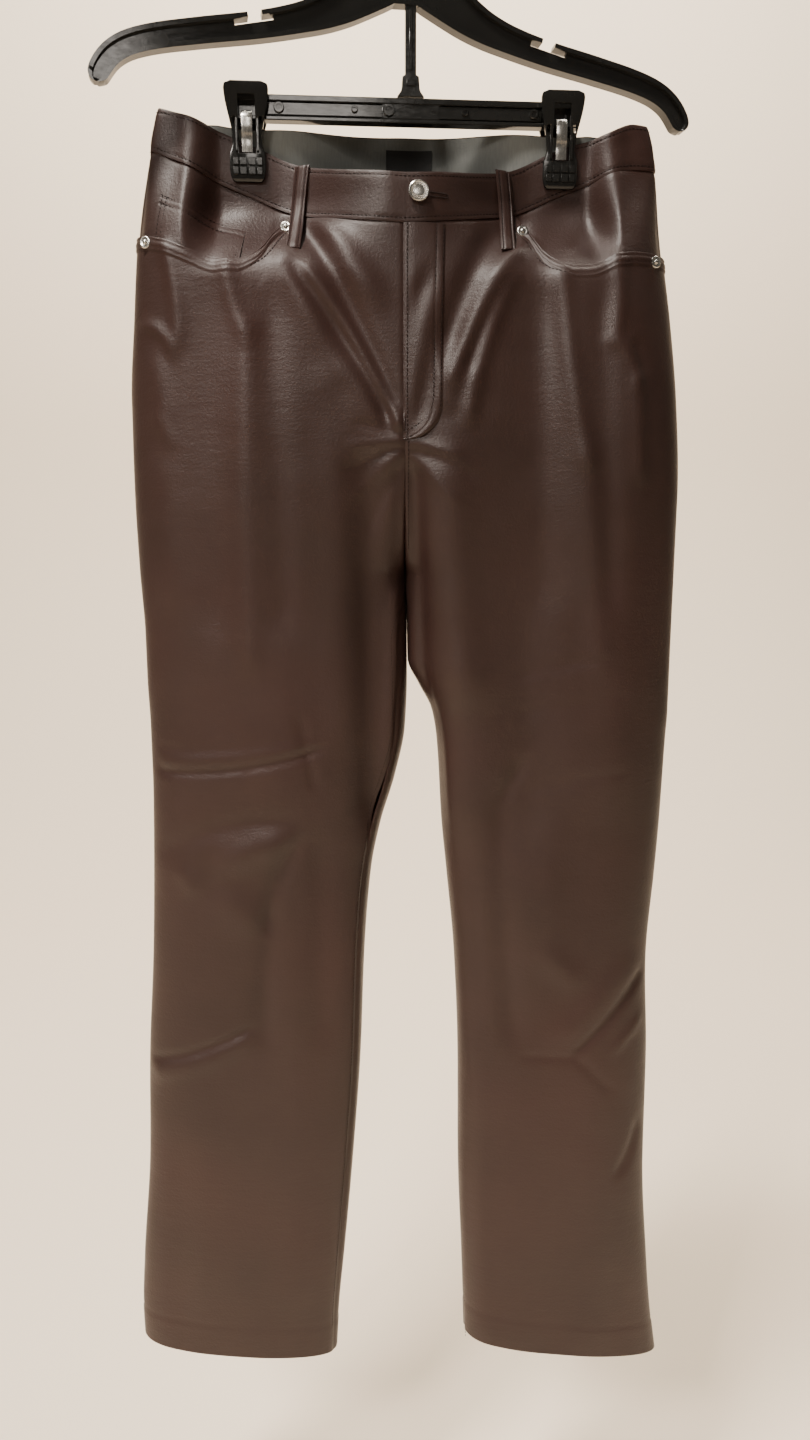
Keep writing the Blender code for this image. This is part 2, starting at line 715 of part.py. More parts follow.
def make_clip(side, middle):
    for face, way in (("front", -1), ("back", 1)):
        name = f"clip_{face}_jaw_{side}"
        bm = bmesh.new()
        across = (-1, -SLOT_HALF / 16, SLOT_HALF / 16, 1)
        rings = []
        for row in CLIP_ROWS:
            ring = []
            for y in (row.depth, row.depth - row.wall):
                line = []
                for share in across:
                    inner = abs(share) < 1
                    x = math.copysign(SLOT_HALF, share) if inner else share * row.half_width
                    out, deep = turned_point(x + middle, way * y, CLIP_YAW)
                    line.append(bm.verts.new((out, deep, -row.drop)))
                ring.append(line)
            rings.append(ring)
        close_clip(bm, rings, face == "front")
        add_mesh(name, bm, "black_plastic", smooth=False)
    make_spring(side, middle)


def in_slot(row):
    """True where the slot runs from this row of the jaw to the next."""
    upper, lower = CLIP_ROWS[row], CLIP_ROWS[row + 1]
    return upper.drop >= SLOT_TOP - SLOT_REACH and lower.drop <= SLOT_FOOT + SLOT_REACH


def close_clip(bm, rings, slotted):
    """Skins, sides and ends of a jaw; a slot is left open through the middle column."""
    last = len(rings) - 1
    for r in range(last):
        upper, lower = rings[r], rings[r + 1]
        open_here = slotted and in_slot(r)
        for c in range(3):
            if open_here and c == 1:
                for column in (1, 2):
                    bm.faces.new((upper[0][column], lower[0][column],
                                  lower[1][column], upper[1][column]))
                continue
            for skin in (0, 1):
                bm.faces.new((upper[skin][c], upper[skin][c + 1],
                              lower[skin][c + 1], lower[skin][c]))
        for column in (0, 3):
            bm.faces.new((upper[0][column], lower[0][column],
                          lower[1][column], upper[1][column]))
    opened = [r for r in range(last) if slotted and in_slot(r)]
    ends = [(0, c) for c in range(3)] + [(last, c) for c in range(3)]
    if opened:
        ends += [(opened[0], 1), (opened[-1] + 1, 1)]
    for r, c in ends:
        ring = rings[r]
        bm.faces.new((ring[0][c], ring[0][c + 1], ring[1][c + 1], ring[1][c]))


def make_spring(side, middle):
    """The flat steel strip in the front jaw's slot, bent over the bar and down to the jaw."""
    rows = ((180, 11.4), (188, 9.6), (197, 7.8), (207, 7.0), (215, 6.9))
    bm = bmesh.new()
    rings = []
    for drop, depth in rows:
        ring = []
        for x, y in ((-5, depth), (5, depth), (5, depth - 1.0), (-5, depth - 1.0)):
            out, deep = turned_point(x + middle, -y, CLIP_YAW)
            ring.append(bm.verts.new((out, deep, -drop)))
        rings.append(ring)
    for upper, lower in zip(rings, rings[1:]):
        for i in range(4):
            j = (i + 1) % 4
            bm.faces.new((upper[i], upper[j], lower[j], lower[i]))
    bm.faces.new(rings[0])
    bm.faces.new(rings[-1][::-1])
    add_mesh(f"clip_spring_{side}", bm, "bright_steel", smooth=False)


def main():
    for old in list(bpy.data.objects):
        bpy.data.objects.remove(old, do_unlink=True)
    make_panels()
    make_waistband()
    make_fly()
    make_pockets()
    make_loops()
    make_studs()
    make_label()
    make_hanger()


main()
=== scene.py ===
"""Faux leather trousers on a clip hanger: the cloth, stitches, hardware, finishes and studio.

Design sizes are in millimetres and "drop" is the distance below the crown of the hanger's hook,
which is the origin. Front is -Y, the wearer's right is on -X.
"""

import math
from collections import namedtuple

import bmesh
import bpy
import numpy as np
from mathutils import Matrix, Vector


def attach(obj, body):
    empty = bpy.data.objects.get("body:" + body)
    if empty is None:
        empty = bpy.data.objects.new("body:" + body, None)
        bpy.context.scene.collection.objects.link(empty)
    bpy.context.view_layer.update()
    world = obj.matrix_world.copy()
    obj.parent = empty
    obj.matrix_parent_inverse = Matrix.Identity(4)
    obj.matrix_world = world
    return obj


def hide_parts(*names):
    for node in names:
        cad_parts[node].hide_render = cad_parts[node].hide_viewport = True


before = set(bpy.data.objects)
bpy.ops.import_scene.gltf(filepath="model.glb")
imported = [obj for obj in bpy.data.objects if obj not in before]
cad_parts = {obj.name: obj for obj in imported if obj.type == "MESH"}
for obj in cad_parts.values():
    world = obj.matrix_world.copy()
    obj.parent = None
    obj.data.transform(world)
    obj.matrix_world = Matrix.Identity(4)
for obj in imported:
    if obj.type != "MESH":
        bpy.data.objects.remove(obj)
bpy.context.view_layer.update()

MM = 0.001
SIGN = {"right": -1, "left": 1}

# ---------------------------------------------------------------- the cut of the trousers

CLOTH = 1.0  # the leather's wall
BAND_WALL = 2.0
BAND_PROUD = 0.7  # how far the waistband stands out from the panels
LAP = 1.6  # how far the right front passes under the left at the centre
ROUNDNESS = 2.5  # of the flattened tubes: 2 is an ellipse, more is fuller
SEAT_OPENS = 396  # drop where the hips start to part into two legs
CROTCH = 516
CROTCH_CURVE = 2.2
SIDE_FLAT = 0.74  # share of the waist's depth pressed out beside the clips
CLIP_X = 115
CLIP_YAW = math.radians(4)
SHOULDER_YAW = math.radians(12)
PINCH = 3.2  # half the gap between front and back under the clips
PINCH_FLAT = 20  # half the width held fully flat at a clip
PINCH_START = 8  # the held stretch, from the centre outwards and down
PINCH_OUT = 160
PINCH_TOP = 246
PINCH_END = 310

Section = namedtuple("Section", "drop outer inner front back")
Edge = namedtuple("Edge", "x front_top front_seam back_top back_seam")
Fold = namedtuple("Fold", "x0 drop0 x1 drop1 bend width height")


def rows_of(kind, *rows):
    """A table's rows with the names of their columns."""
    return tuple(kind(*row) for row in rows)


SECTIONS = {
    "right": rows_of(
        Section,
        (184, 178, 0.05, 36, 30),
        (222, 186, 0.05, 41, 35),
        (270, 195, 0.05, 45, 41),
        (330, 202, 0.05, 49, 47),
        (390, 208, 0.05, 50, 51),
        (460, 209, 0.05, 48, 53),
        (516, 208, 0.05, 44, 51),
        (565, 206, -1.4, 41, 48),
        (600, 206, -1.6, 40, 46),
        (640, 205, 0, 39, 44),
        (680, 205, 8, 38, 42),
        (720, 206, 20, 37, 41),
        (760, 207.5, 28, 36, 39),
        (830, 211, 34, 34, 36),
        (924, 218, 38, 31, 33),
        (1018, 222, 45, 29, 30),
        (1116, 231, 54, 27, 28),
        (1166, 234, 59, 26, 27),
        (1215, 233, 62, 26, 27),
    ),
    "left": rows_of(
        Section,
        (184, 180, 0.05, 36, 30),
        (222, 188, 0.05, 41, 35),
        (270, 193, 0.05, 45, 41),
        (330, 201, 0.05, 49, 47),
        (390, 207, 0.05, 50, 51),
        (460, 211, 0.05, 48, 53),
        (516, 211, 0.1, 44, 51),
        (565, 211, 1.5, 41, 48),
        (586, 211, 2.0, 40.5, 47),
        (606, 211, 11, 40, 46),
        (627, 211, 21.5, 39, 45),
        (650, 210, 25.5, 39, 44),
        (720, 208, 30, 37, 41),
        (760, 206, 34, 36, 39),
        (833, 202, 41, 34, 36),
        (924, 206, 45, 31, 33),
        (1018, 207, 46, 29, 30),
        (1116, 214, 50, 27, 28),
        (1166, 219, 52, 26, 27),
        (1215, 226, 54, 26, 27),
    ),
}

WAIST = rows_of(
    Edge,
    (-182, 184, 216, 184, 218),
    (-155, 193, 228, 191, 226),
    (-113, 209, 245, 197, 232),
    (-69, 226, 261, 195.5, 229),
    (0, 237, 271, 190, 225),
    (68, 227, 259, 194, 227),
    (117, 206, 239, 196.5, 230),
    (150, 197, 227, 194, 227),
    (170, 189, 222, 190, 223),
    (184, 189, 221, 189, 221),
)

MOUTHS = {
    "right": (
        (84, 259), (88, 264), (94.5, 272), (100.6, 284), (109, 292), (120, 296.5),
        (134, 296.5), (152, 290), (169, 283), (186, 278), (199, 276),
    ),
    "left": (
        (84, 257), (88, 263), (91, 267), (95.6, 277), (103, 287), (111.5, 294),
        (120, 297.5), (132, 297.5), (151, 291), (165, 287), (178, 286), (198, 286),
    ),
}
MOUTH_START = 84

INSEAM_TURN = {
    "right": ((CROTCH, 0), (570, 0.42), (700, 0.36), (1100, 0.30), (1215, 0.22)),
    "left": ((CROTCH, 0), (570, 0.10), (700, 0.05), (1215, 0.05)),
}
HEM = {"right": (1191, 1209), "left": (1209, 1189)}

# Ridges (height above zero) and troughs (below zero) in the fronts, by their two ends.
FRONT_FOLDS = {
    "right": rows_of(
        Fold,
        # the hip: a fan of folds from the pocket to the foot of the fly
        (66, 258, 20, 322, 0, 10, 3.4),
        (76, 262, 8, 404, -5, 7.5, -4.2),
        (71, 300, 3, 412, -4, 4.5, 3.2),
        (82, 300, 12, 408, -4, 4.5, -2.6),
        (90, 282, 36, 382, 5, 10, 3.6),
        (60, 372, 30, 400, 0, 16, 2.0),
        (38, 390, 44, 640, 4, 20, 3.0),
        (127, 296, 112, 350, 3, 6, 2.4),
        (112, 340, 117, 590, 3, 9, 2.4),
        (97, 320, 92, 560, -2, 11, -2.2),
        (142, 310, 143, 560, 0, 14, -1.8),
        (171, 284, 163, 354, -3, 6, 2.4),
        (190, 338, 166, 362, -5, 4.5, 2.2),
        (181, 362, 174, 408, 0, 9, 2.2),
        (183, 402, 170, 424, 0, 7, 1.8),
        (178, 432, 176, 540, 0, 12, 1.4),
        (2, 417, 36, 409, 1, 3.2, -1.3),
        (2, 421, 40, 425, 0, 3.4, 1.5),
        (2, 425, 46, 444, 1, 3.8, -1.4),
        (3, 430, 38, 462, 1, 4.0, 1.3),
        (3, 440, 26, 486, 2, 4.5, -1.2),
        (2, 432, 5, 512, 0, 7, -2.6),
        (96, 360, 104, 720, 0, 34, 5.0),
        (30, 430, 24, 720, 0, 15, -6.5),
        (7, 530, 14, 760, 0, 5, 2.4),
        (52, 330, 38, 420, 0, 14, -3.0),
        # the knee and calf
        (196, 673, 64, 652, 6, 3.4, -1.9),
        (192, 663, 74, 646, 5, 6, 0.8),
        (192, 655, 66, 641, 4, 3.5, -0.5),
        (81, 628, 71, 684, 0, 4, -1.3),
        (196, 742, 90, 710, -9, 8, -1.6),
        (144, 748, 92, 728, -3, 13, 4.2),
        (146, 772, 122, 800, 0, 16, 2.6),
        (178, 752, 168, 772, 0, 9, 1.8),
        (86, 728, 110, 800, 5, 7.5, -3.8),
        (108, 790, 118, 900, 0, 9, -2.6),
        (66, 730, 70, 900, 0, 11, -1.8),
        (90, 830, 96, 1160, 0, 18, 1.6),
        (222, 924, 126, 888, 5, 4.0, -2.2),
        (218, 936, 130, 900, 5, 8, 1.6),
        (190, 1000, 196, 1190, 0, 16, -1.2),
    ),
    "left": rows_of(
        Fold,
        # the hip
        (36, 420, 44, 720, 0, 18, 4.2),
        (88, 300, 96, 740, 0, 25, -6.0),
        (160, 300, 164, 700, 0, 20, 3.4),
        (8, 440, 15, 640, 0, 7, -4.0),
        (80, 286, 33, 380, -4, 6.5, 3.4),
        (91, 276, 46, 408, -7, 6, 3.6),
        (83, 292, 46, 372, -3, 4.5, -2.4),
        (66, 268, 29, 356, -3, 9, -4.4),
        (34, 372, 30, 398, 0, 10, 2.0),
        (112, 298, 134, 440, -3, 6.5, 2.8),
        (132, 424, 150, 590, 0, 10, 2.2),
        (99, 312, 108, 540, 0, 12, -2.4),
        (141, 320, 155, 540, 0, 10, -2.2),
        (153, 286, 150, 352, 2, 5.5, 2.8),
        (150, 350, 168, 382, 6, 4.5, 2.4),
        (168, 378, 173, 450, 0, 5.5, 2.2),
        (166, 352, 172, 372, 0, 6, -1.8),
        (24, 424, 50, 620, -3, 17, 3.2),
        (2, 423, 40, 430, 1, 3.4, 1.5),
        (4, 426, 52, 448, 1, 3.8, -1.4),
        (3, 432, 40, 466, 1, 4.0, 1.2),
        (2, 432, 6, 512, 0, 7, -2.6),
        # the knee and calf
        (86, 597, 158, 582, 2, 3.6, -0.7),
        (90, 626, 170, 612, 2, 4.0, -0.6),
        (92, 690, 172, 672, 2, 4.5, -0.6),
        (92, 664, 77, 694, 0, 6, -2.2),
        (74, 690, 90, 900, -3, 11, -2.8),
        (112, 700, 118, 826, 0, 15, 1.8),
        (112, 822, 142, 850, 0, 12, 2.4),
        (197, 842, 141, 911, 2, 4.0, -2.4),
        (184, 834, 126, 900, 2, 12, 2.4),
        (96, 914, 142, 915, 0, 4.0, -1.0),
        (142, 915, 172, 947, 0, 4.0, -1.1),
        (172, 911, 199, 882, 0, 5, 1.3),
        (199, 980, 181, 1026, 2, 5, -2.0),
        (60, 900, 70, 1190, 0, 10, 1.4),
        (128, 950, 132, 1190, 0, 18, -1.3),
        (160, 1010, 168, 1190, 0, 14, 1.2),
    ),
}

# The same kind of folds on the hidden side: the seat, behind the knee and down the calf.
BACK_FOLDS = {
    "right": rows_of(
        Fold,
        (150, 250, 40, 470, 10, 15, 2.4),
        (110, 260, 22, 440, 8, 9, -2.4),
        (180, 330, 60, 520, 12, 10, -2.2),
        (8, 500, 120, 560, -6, 7, 2.6),
        (10, 520, 140, 596, -6, 6, -2.4),
        (196, 650, 60, 676, 6, 5, -2.2),
        (190, 668, 70, 700, 4, 8, 2.0),
        (120, 700, 128, 1000, 0, 15, -1.8),
        (210, 870, 110, 900, 4, 6, -1.8),
    ),
    "left": rows_of(
        Fold,
        (150, 250, 44, 450, 10, 13, 2.4),
        (118, 270, 26, 430, 8, 9, -2.2),
        (180, 350, 70, 540, 12, 11, -2.0),
        (10, 498, 130, 548, -6, 7, 2.4),
        (12, 516, 150, 588, -6, 6, -2.4),
        (200, 640, 80, 660, 5, 5, -2.0),
        (196, 690, 90, 676, -4, 8, 1.8),
        (130, 720, 126, 1040, 0, 14, -1.6),
        (200, 900, 120, 930, 4, 6, -1.8),
    ),
}


def smooth_curve(xs, ys, x):
    """A monotone cubic through the points, held level past both ends."""
    xs = np.asarray(xs, float)
    ys = np.asarray(ys, float)
    x = np.clip(np.asarray(x, float), xs[0], xs[-1])
    step = np.diff(xs)
    slope = np.diff(ys) / step
    tangent = np.zeros(len(xs))
    same_way = slope[:-1] * slope[1:] > 0
    before = 2 * step[1:] + step[:-1]
    after = step[1:] + 2 * step[:-1]
    safe = np.where(same_way, slope[:-1] * slope[1:], 1.0)
    mean = (before + after) * safe / (before * slope[1:] + after * slope[:-1] + (~same_way))
    tangent[1:-1] = np.where(same_way, mean, 0.0)
    tangent[0] = slope[0]
    tangent[-1] = slope[-1]
    i = np.clip(np.searchsorted(xs, x, side="right") - 1, 0, len(step) - 1)
    h = step[i]
    t = (x - xs[i]) / h
    rise = ys[i] * (1 + 2 * t) * (1 - t) ** 2 + ys[i + 1] * t * t * (3 - 2 * t)
    return rise + h * t * (1 - t) * (tangent[i] * (1 - t) - tangent[i + 1] * t)


def ease(low, high, value):
    """0 below low, 1 above high, smooth between."""
    t = np.clip((np.asarray(value, float) - low) / (high - low), 0, 1)
    return t * t * (3 - 2 * t)


def hump(value, width):
    return np.exp(-((value / width) ** 2))


def column(table, name, at, key="drop"):
    return smooth_curve([getattr(row, key) for row in table],
                        [getattr(row, name) for row in table], at)


def fullness(turn):
    """How full a flattened tube is at this angle: 0 at its two side edges, 1 in the middle."""
    along = np.abs(np.cos(turn)) ** ROUNDNESS
    return np.sign(np.sin(turn)) * np.maximum(1 - along, 0) ** (1 / ROUNDNESS)


def closing(tube, drop):
    """0 where left and right panels form one hip, 1 where each leg is a closed tube.

    At the centre the cloth turns under along a round crotch curve; away from it the change is
    slow and even.
    """
    k = np.clip((drop - SEAT_OPENS) / (CROTCH - SEAT_OPENS), 0, 1)
    round_under = 1 - np.sqrt(np.maximum(1 - k ** CROTCH_CURVE, 0))
    slow = ease(SEAT_OPENS, CROTCH + 70, drop)
    near = ease(0.70, 0.99, 1 - np.abs(1 - tube / math.pi))
    return slow * (1 - near) + round_under * near


def pinched(x, drop):
    """1 where a clip holds the cloth flat, fading to 0 around it."""
    reach = np.abs(x)
    held = ease(PINCH_START, CLIP_X - PINCH_FLAT, reach)
    held = held * (1 - ease(CLIP_X + PINCH_FLAT, PINCH_OUT, reach))
    return held * (1 - ease(PINCH_TOP, PINCH_END, drop))


def cloth_point(side, face, w, drop):
    """The uncreased cloth: w runs from the side seam (0) to the centre or inseam (1)."""
    w = np.asarray(w, float)
    drop = np.asarray(drop, float)
    table = SECTIONS[side]
    way = -1 if face == "front" else 1
    outer = column(table, "outer", drop)
    inner = column(table, "inner", drop)
    deep = column(table, face, drop)
    other = column(table, "back" if face == "front" else "front", drop)
    turns = INSEAM_TURN[side]
    turn = smooth_curve([row[0] for row in turns], [row[1] for row in turns], drop)
    tube = w * (math.pi - turn if face == "front" else math.pi + turn)
    shut = closing(tube, drop)
    x = SIGN[side] * (inner + (outer - inner) * (1 + np.cos(tube)) / 2)
    full = fullness(tube)
    full = np.where(tube > math.pi / 2, full * shut + 1 - shut, full)
    y = way * full * np.where(tube > math.pi, other, deep)
    beside = ease(CLIP_X, 170, np.abs(x)) * (1 - ease(200, 290, drop))
    y = y * (1 - SIDE_FLAT * beside)
    hold = pinched(x, drop)
    y = y * (1 - hold) + way * PINCH * hold
    y = y + x * math.tan(CLIP_YAW) * (1 - ease(230, 420, drop))
    return np.stack(np.broadcast_arrays(x, y, -drop), axis=-1)


def cloth_normal(side, face, w, drop):
    step_w = 0.002
    w = np.asarray(w, float)
    low = np.clip(w - step_w, 0, 1)
    high = np.clip(w + step_w, 0, 1)
    across = cloth_point(side, face, high, drop) - cloth_point(side, face, low, drop)
    down = cloth_point(side, face, w, drop + 1.0) - cloth_point(side, face, w, drop - 1.0)
    normal = np.cross(across, down)
    at = cloth_point(side, face, w, drop)
    near_seam = (1 - ease(2, 14, np.abs(at[..., 0]))) * (1 - ease(CROTCH - 6, CROTCH + 8, drop))
    normal[..., 0] *= 1 - near_seam
    normal = normal / np.maximum(np.linalg.norm(normal, axis=-1, keepdims=True), 1e-9)
    outward = SIGN[side] if face == "front" else -SIGN[side]
    return normal * outward


def folds(table, side, out, drop):
    """The lift of every fold of one side, with bent lines that fade at both ends."""
    total = np.zeros(np.broadcast(out, drop).shape)
    for fold in table[side]:
        run_x = fold.x1 - fold.x0
        run_drop = fold.drop1 - fold.drop0
        length = math.hypot(run_x, run_drop)
        along = ((out - fold.x0) * run_x + (drop - fold.drop0) * run_drop) / length ** 2
        across = ((out - fold.x0) * run_drop - (drop - fold.drop0) * run_x) / length
        bow = 4 * fold.bend * along * (1 - along)
        fade = min(0.3, 1.6 * fold.width / length)
        ends = ease(-fade, fade, along) * (1 - ease(1 - fade, 1 + fade, along))
        total = total + fold.height * ends * hump(across - bow, fold.width)
    return total


def ripple(side, face, out, drop):
    """Faint, slow unevenness all over, and finer crosswise wrinkles where the cloth bends."""
    phase = {"right": 0.0, "left": 1.9}[side] + {"front": 0.0, "back": 0.8}[face]
    slow = np.sin(out / 23 + phase + 0.8 * np.sin(drop / 61 + phase))
    slow = slow * np.sin(drop / 47 + 1.3 * phase + 0.9 * np.sin(out / 37))
    cross = np.sin(drop / 5.3 + 1.7 * np.sin(out / 19 + phase) + phase)
    where = hump(drop - 455, 70) + 0.7 * hump(drop - 690, 60) + 0.4 * hump(drop - 930, 60)
    patchy = 0.5 + 0.5 * np.sin(out / 15 + drop / 31 + phase)
    return 0.35 * slow + 0.10 * cross * where * patchy


def relief(side, face, x, drop):
    out = np.asarray(x, float) * SIGN[side]
    table = FRONT_FOLDS if face == "front" else BACK_FOLDS
    lift = folds(table, side, out, drop) + ripple(side, face, out, drop)
    reach = column(SECTIONS[side], "outer", drop) - out
    firm = ease(0, 14, reach) * ease(250, 285, drop + 0 * out)
    below_crotch = ease(CROTCH, CROTCH + 40, drop)
    inner = out - column(SECTIONS[side], "inner", drop)
    firm = firm * (1 - below_crotch + below_crotch * ease(0, 10, inner))
    return lift * firm


def skin(side, face, w, drop, lift=0.0, creased=True):
    """The cloth's outer surface, raised by lift, with or without its creases, and its normal."""
    points = cloth_point(side, face, w, drop)
    normals = cloth_normal(side, face, w, drop)
    rise = relief(side, face, points[..., 0], drop) + lift if creased else np.asarray(lift)
    return points + normals * rise[..., None], normals


def across_at(side, face, x, drop):
    """The w whose surface point lies at this x, above the crotch."""
    low = np.zeros(np.broadcast(x, drop).shape)
    high = np.ones_like(low)
    target = np.abs(x)
    for _ in range(30):
        middle = (low + high) / 2
        beyond = np.abs(cloth_point(side, face, middle, drop)[..., 0]) > target
        low = np.where(beyond, middle, low)
        high = np.where(beyond, high, middle)
    return (low + high) / 2


def place(face, x, drop, lift=0.0, creased=True):
    """The surface and its normal at x and drop, on either side of the centre."""
    x, drop, lift = np.broadcast_arrays(np.asarray(x, float), np.asarray(drop, float), lift)
    points = np.zeros(x.shape + (3,))
    normals = np.zeros_like(points)
    for side, chosen in (("right", x < 0), ("left", x >= 0)):
        if not chosen.any():
            continue
        w = across_at(side, face, x[chosen], drop[chosen])
        points[chosen], normals[chosen] = skin(side, face, w, drop[chosen], lift[chosen],
                                               creased)
    return points, normals


def waist_edge(name, x):
    return column(WAIST, name, x, key="x")


def front_edge(side):
    mouth_x = [row[0] for row in MOUTHS[side]]
    mouth_drop = [row[1] for row in MOUTHS[side]]

    def edge_of(x):
        mouth = smooth_curve(mouth_x, mouth_drop, np.abs(x))
        return np.where(np.abs(x) > MOUTH_START, mouth, waist_edge("front_seam", x))

    return edge_of


def seam_drop(side, face, w, edge_of):
    drop = np.full(np.shape(w), 240.0)
    for _ in range(16):
        drop = 0.5 * drop + 0.5 * edge_of(cloth_point(side, face, w, drop)[..., 0])
    return drop


def even_ends(count, crowd=0.45):
    """Shares from 0 to 1 that lie closer together near both ends."""
    s = np.linspace(0, 1, count)
    return (1 - crowd) * s + crowd * (0.5 - 0.5 * np.cos(math.pi * s))


# ---------------------------------------------------------------- making pieces


def finish_piece(obj, slot, *nodes):
    """Gives a piece its finish, its body and the CAD nodes that it stands for."""
    obj.data.materials.clear()
    obj.data.materials.append(FINISH[slot])
    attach(obj, "root")
    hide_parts(*nodes)


def add_object(name, mesh):
    made = bpy.data.objects.new(name, mesh)
    bpy.context.scene.collection.objects.link(made)
    return made


def mesh_object(name, points, faces, sharp=45):
    mesh = bpy.data.meshes.new(name)
    mesh.from_pydata((np.asarray(points) * MM).tolist(), [], faces)
    mesh.validate()
    bm = bmesh.new()
    bm.from_mesh(mesh)
    bmesh.ops.recalc_face_normals(bm, faces=bm.faces)
    if bm.calc_volume(signed=True) < 0:
        bmesh.ops.reverse_faces(bm, faces=bm.faces)
    bm.to_mesh(mesh)
    bm.free()
    mesh.shade_smooth()
    mesh.set_sharp_from_angle(angle=math.radians(sharp))
    return add_object(name, mesh)


def shell_object(name, outer, normals, wall):
    """A thin closed cloth: a grid of outer points, the same moved in by wall, and a rim."""
    rows, columns = outer.shape[:2]
    inner = outer - normals * np.broadcast_to(wall, outer.shape[:2])[..., None]
    points = np.concatenate((outer.reshape(-1, 3), inner.reshape(-1, 3)))
    index = np.arange(rows * columns).reshape(rows, columns)
    a, b = index[:-1, :-1].ravel(), index[:-1, 1:].ravel()
    c, d = index[1:, 1:].ravel(), index[1:, :-1].ravel()
    top = np.stack((a, b, c, d), axis=1)
    under = np.stack((d, c, b, a), axis=1) + rows * columns
    rim = np.concatenate((index[0, :-1], index[:-1, -1], index[-1, :0:-1], index[:0:-1, 0]))
    after = np.roll(rim, -1)
    side = np.stack((after, rim, rim + rows * columns, after + rows * columns), axis=1)
    faces = np.concatenate((top, under, side)).tolist()
    return mesh_object(name, points, faces)


def inset_grid(points, amount=0.05):
    points = points.copy()
    for end, beside in ((0, 1), (-1, -2)):
        edge = points[beside] - points[end]
        points[end] += amount * edge / np.linalg.norm(edge, axis=-1, keepdims=True)
    for end, beside in ((0, 1), (-1, -2)):
        edge = points[:, beside] - points[:, end]
        points[:, end] += amount * edge / np.linalg.norm(edge, axis=-1, keepdims=True)
    return points


def seam_dip(points, depth=0.9, reach=2.6):
    """How far the cloth sinks beside its two long seams, from the distance along each row."""
    step = np.linalg.norm(np.diff(points, axis=1), axis=-1)
    from_side = np.concatenate((np.zeros((len(points), 1)), np.cumsum(step, axis=1)), axis=1)
    from_middle = from_side[:, -1:] - from_side
    drop = -points[..., 2]
    legs_touch = ease(CROTCH - 20, CROTCH, drop) * (1 - ease(590, 640, drop))
    return -depth * (hump(from_side, reach) + hump(from_middle, reach) * (1 - legs_touch))


def loft(name, rings, closed_ends=True, sharp=45):
    """Skins a list of equal closed rings, with flat ends."""
    count = len(rings[0])
    points = np.concatenate([np.asarray(ring, float) for ring in rings])
    faces = []
    for r in range(len(rings) - 1):
        for i in range(count):
            j = (i + 1) % count
            faces.append((r * count + i, r * count + j, (r + 1) * count + j, (r + 1) * count + i))
    if closed_ends:
        faces.append(tuple(range(count))[::-1])
        last = (len(rings) - 1) * count
        faces.append(tuple(range(last, last + count)))
    return mesh_object(name, points, faces, sharp)


def bake(obj):
    """Applies an object's modifiers into its mesh."""
    graph = bpy.context.evaluated_depsgraph_get()
    mesh = bpy.data.meshes.new_from_object(obj.evaluated_get(graph))
    old = obj.data
    obj.modifiers.clear()
    obj.data = mesh
    if isinstance(old, bpy.types.Mesh):
        bpy.data.meshes.remove(old)
    return obj


def bevelled(obj, width, angle=30):
    bevel = obj.modifiers.new("Bevel", "BEVEL")
    bevel.width = width * MM
    bevel.segments = 2
    bevel.limit_method = "ANGLE"
    bevel.angle_limit = math.radians(angle)
    bake(obj)
    obj.data.shade_smooth()
    obj.data.set_sharp_from_angle(angle=math.radians(20))
    return obj


def cut(obj, cutters):
    for cutter in cutters:
        tool = obj.modifiers.new("Cut", "BOOLEAN")
        tool.operation = "DIFFERENCE"
        tool.object = cutter
    bake(obj)
    for cutter in cutters:
        bpy.data.objects.remove(cutter, do_unlink=True)
    return obj


def join(name, parts):
    """Joins finished meshes into one object."""
    bm = bmesh.new()
    for part in parts:
        bm.from_mesh(part.data)
    mesh = bpy.data.meshes.new(name)
    bm.to_mesh(mesh)
    bm.free()
    for part in parts:
        bpy.data.objects.remove(part, do_unlink=True)
    mesh.set_sharp_from_angle(angle=math.radians(20))
    return add_object(name, mesh)


# ---------------------------------------------------------------- finishes


